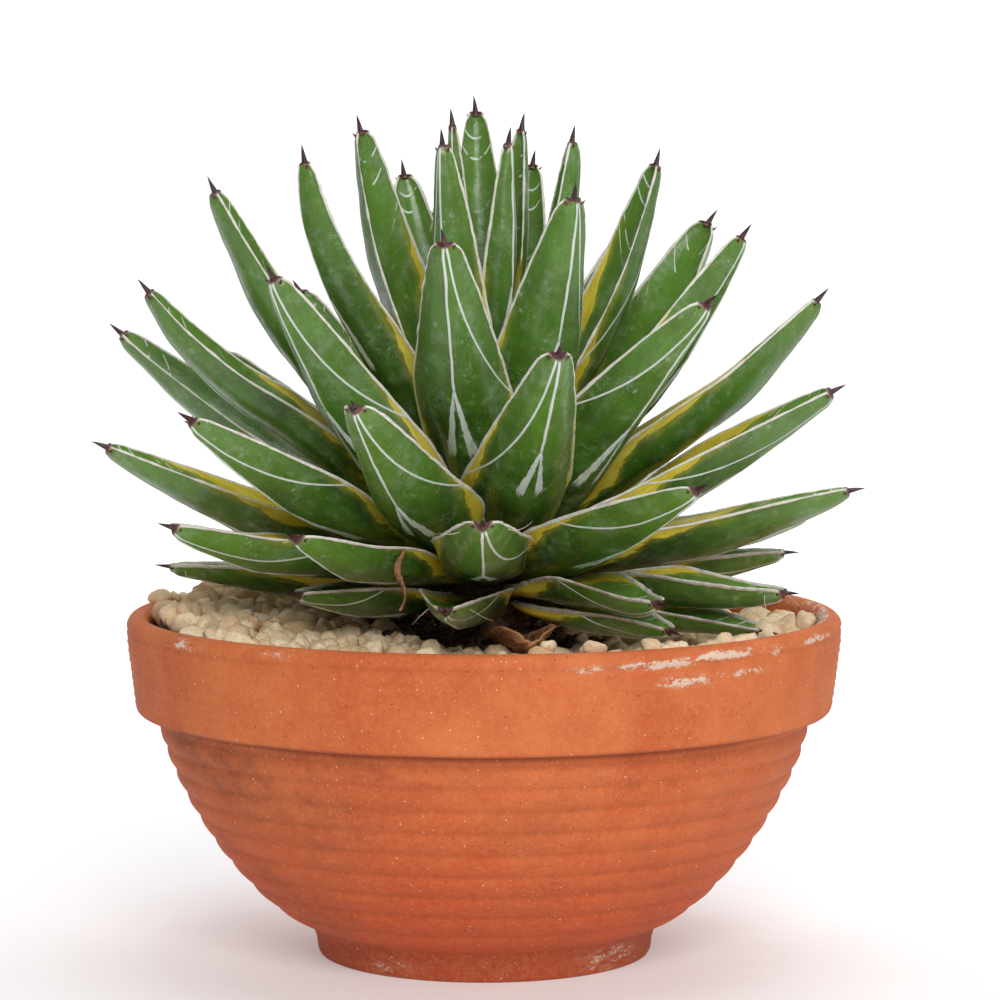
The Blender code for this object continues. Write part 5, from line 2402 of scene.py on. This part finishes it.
# ------------------------------------------------------------------ studio
@dataclass
class Studio:
    """Pale floor and backdrop, soft lights and the camera."""

    camera_place: Vector = field(default_factory=lambda: Vector((0.006, -1.449, 0.300)))
    camera_tilt: float = 84.95
    lens: float = 138.5
    floor_half: float = 6.0
    floor_back: float = 2.6
    cove: float = 0.8
    aim: tuple[float, float, float] = (0.0, 0.0, 0.16)
    backdrop_aim: tuple[float, float, float] = (0.0, 3.2, 0.7)

    def build(self) -> None:
        """Set up the floor, the lights, the world and the camera."""
        self._floor()
        self._lights()
        self._world()
        self._camera()

    def _floor(self) -> None:
        """A plain floor that curves up to a backdrop far behind."""
        material, _, shader = new_material("pale_floor")
        shader.inputs["Base Color"].default_value = srgb(226, 226, 228)
        shader.inputs["Roughness"].default_value = 0.75
        shader.inputs["Emission Color"].default_value = (1.0, 1.0, 1.0, 1.0)
        shader.inputs["Emission Strength"].default_value = 0.24
        half, back, cove = self.floor_half, self.floor_back, self.cove
        profile = [(-half, 0.0), (back, 0.0)]
        profile += [(back + cove * math.sin(math.radians(9 * i)),
                     cove - cove * math.cos(math.radians(9 * i))) for i in range(1, 11)]
        profile.append((back + cove, 5.0))
        verts = [(x, y, z) for y, z in profile for x in (-half, half)]
        faces = [(2 * i, 2 * i + 1, 2 * i + 3, 2 * i + 2) for i in range(len(profile) - 1)]
        mesh = new_mesh("studio_floor", verts, faces, material)
        floor = bpy.data.objects.new("studio_floor", mesh)
        bpy.context.scene.collection.objects.link(floor)

    def _lights(self) -> None:
        """One large soft key from above the front, two fills, and a light on the backdrop."""
        for name, place, size, power, color in (
                ("key", (0.22, -1.80, 1.10), 1.0, 23.0, (1.0, 0.99, 0.97)),
                ("fill_right", (1.7, -0.5, 0.9), 1.2, 2.5, (1.0, 1.0, 1.0)),
                ("top", (0.20, 0.00, 1.9), 1.3, 11.0, (1.0, 1.0, 1.0)),
                ("backdrop", (0.0, 1.3, 2.2), 2.4, 62.0, (1.0, 1.0, 1.0))):
            data = bpy.data.lights.new(name, "AREA")
            data.shape, data.size, data.energy = "DISK", size, power
            data.color = color
            light = bpy.data.objects.new(name, data)
            light.location = place
            goal = Vector(self.backdrop_aim if name == "backdrop" else self.aim)
            light.rotation_euler = (Vector(place) - goal).to_track_quat("Z", "Y").to_euler()
            bpy.context.scene.collection.objects.link(light)

    def _world(self) -> None:
        """Even pale light from all round."""
        world = bpy.data.worlds.new("studio")
        world.use_nodes = True
        background = world.node_tree.nodes["Background"]
        background.inputs["Color"].default_value = (1.0, 1.0, 1.0, 1.0)
        background.inputs["Strength"].default_value = 0.22
        bpy.context.scene.world = world
        bpy.context.scene.view_settings.view_transform = "Standard"

    def _camera(self) -> None:
        """The camera, a little above the rim and in front."""
        data = bpy.data.cameras.new("camera")
        data.lens, data.sensor_width = self.lens, 36.0
        camera = bpy.data.objects.new("camera", data)
        camera.location = self.camera_place
        camera.rotation_euler = (math.radians(self.camera_tilt), 0.0, 0.0)
        bpy.context.scene.collection.objects.link(camera)
        bpy.context.scene.camera = camera


def main() -> None:
    """Build every sub-assembly in order, from the bowl up."""
    effects = SharedEffects()
    clay = TerracottaFinish().material(effects)
    grit = PumiceFinish().material(effects)
    peat = SoilFinish().material(effects)
    skin = LeafFinish().material(effects)
    spine = SpineFinish().material(effects)
    dry = DryFinish().material(effects)
    bark = DryFinish("bark", (104, 70, 48), (46, 32, 24), (164, 128, 92)).material(effects)
    pale = DryFinish("bleached_fibre", (196, 176, 150), (150, 126, 100),
                     (216, 204, 184)).material(effects)
    bowl = Bowl()
    log.info("bowl: %s", bowl.build(clay).name)
    fill = Fill(bowl)
    log.info("soil: %d pieces", len(Soil(fill).build(peat, bark)))
    # the bed under the stones takes the dark soil finish: painted shade in the gaps between them
    log.info("gravel: %d pieces", len(GravelBed(fill).build(grit, peat)))
    crown = Crown()
    log.info("rosette: %d pieces", len(Rosette(crown).build(skin, spine, bark)))
    log.info("dead growth: %d pieces", len(DeadGrowth(crown).build(dry, pale)))
    Studio().build()


if __name__ == "__main__":
    logging.basicConfig(level=logging.INFO, format="%(name)s: %(message)s")
    main()
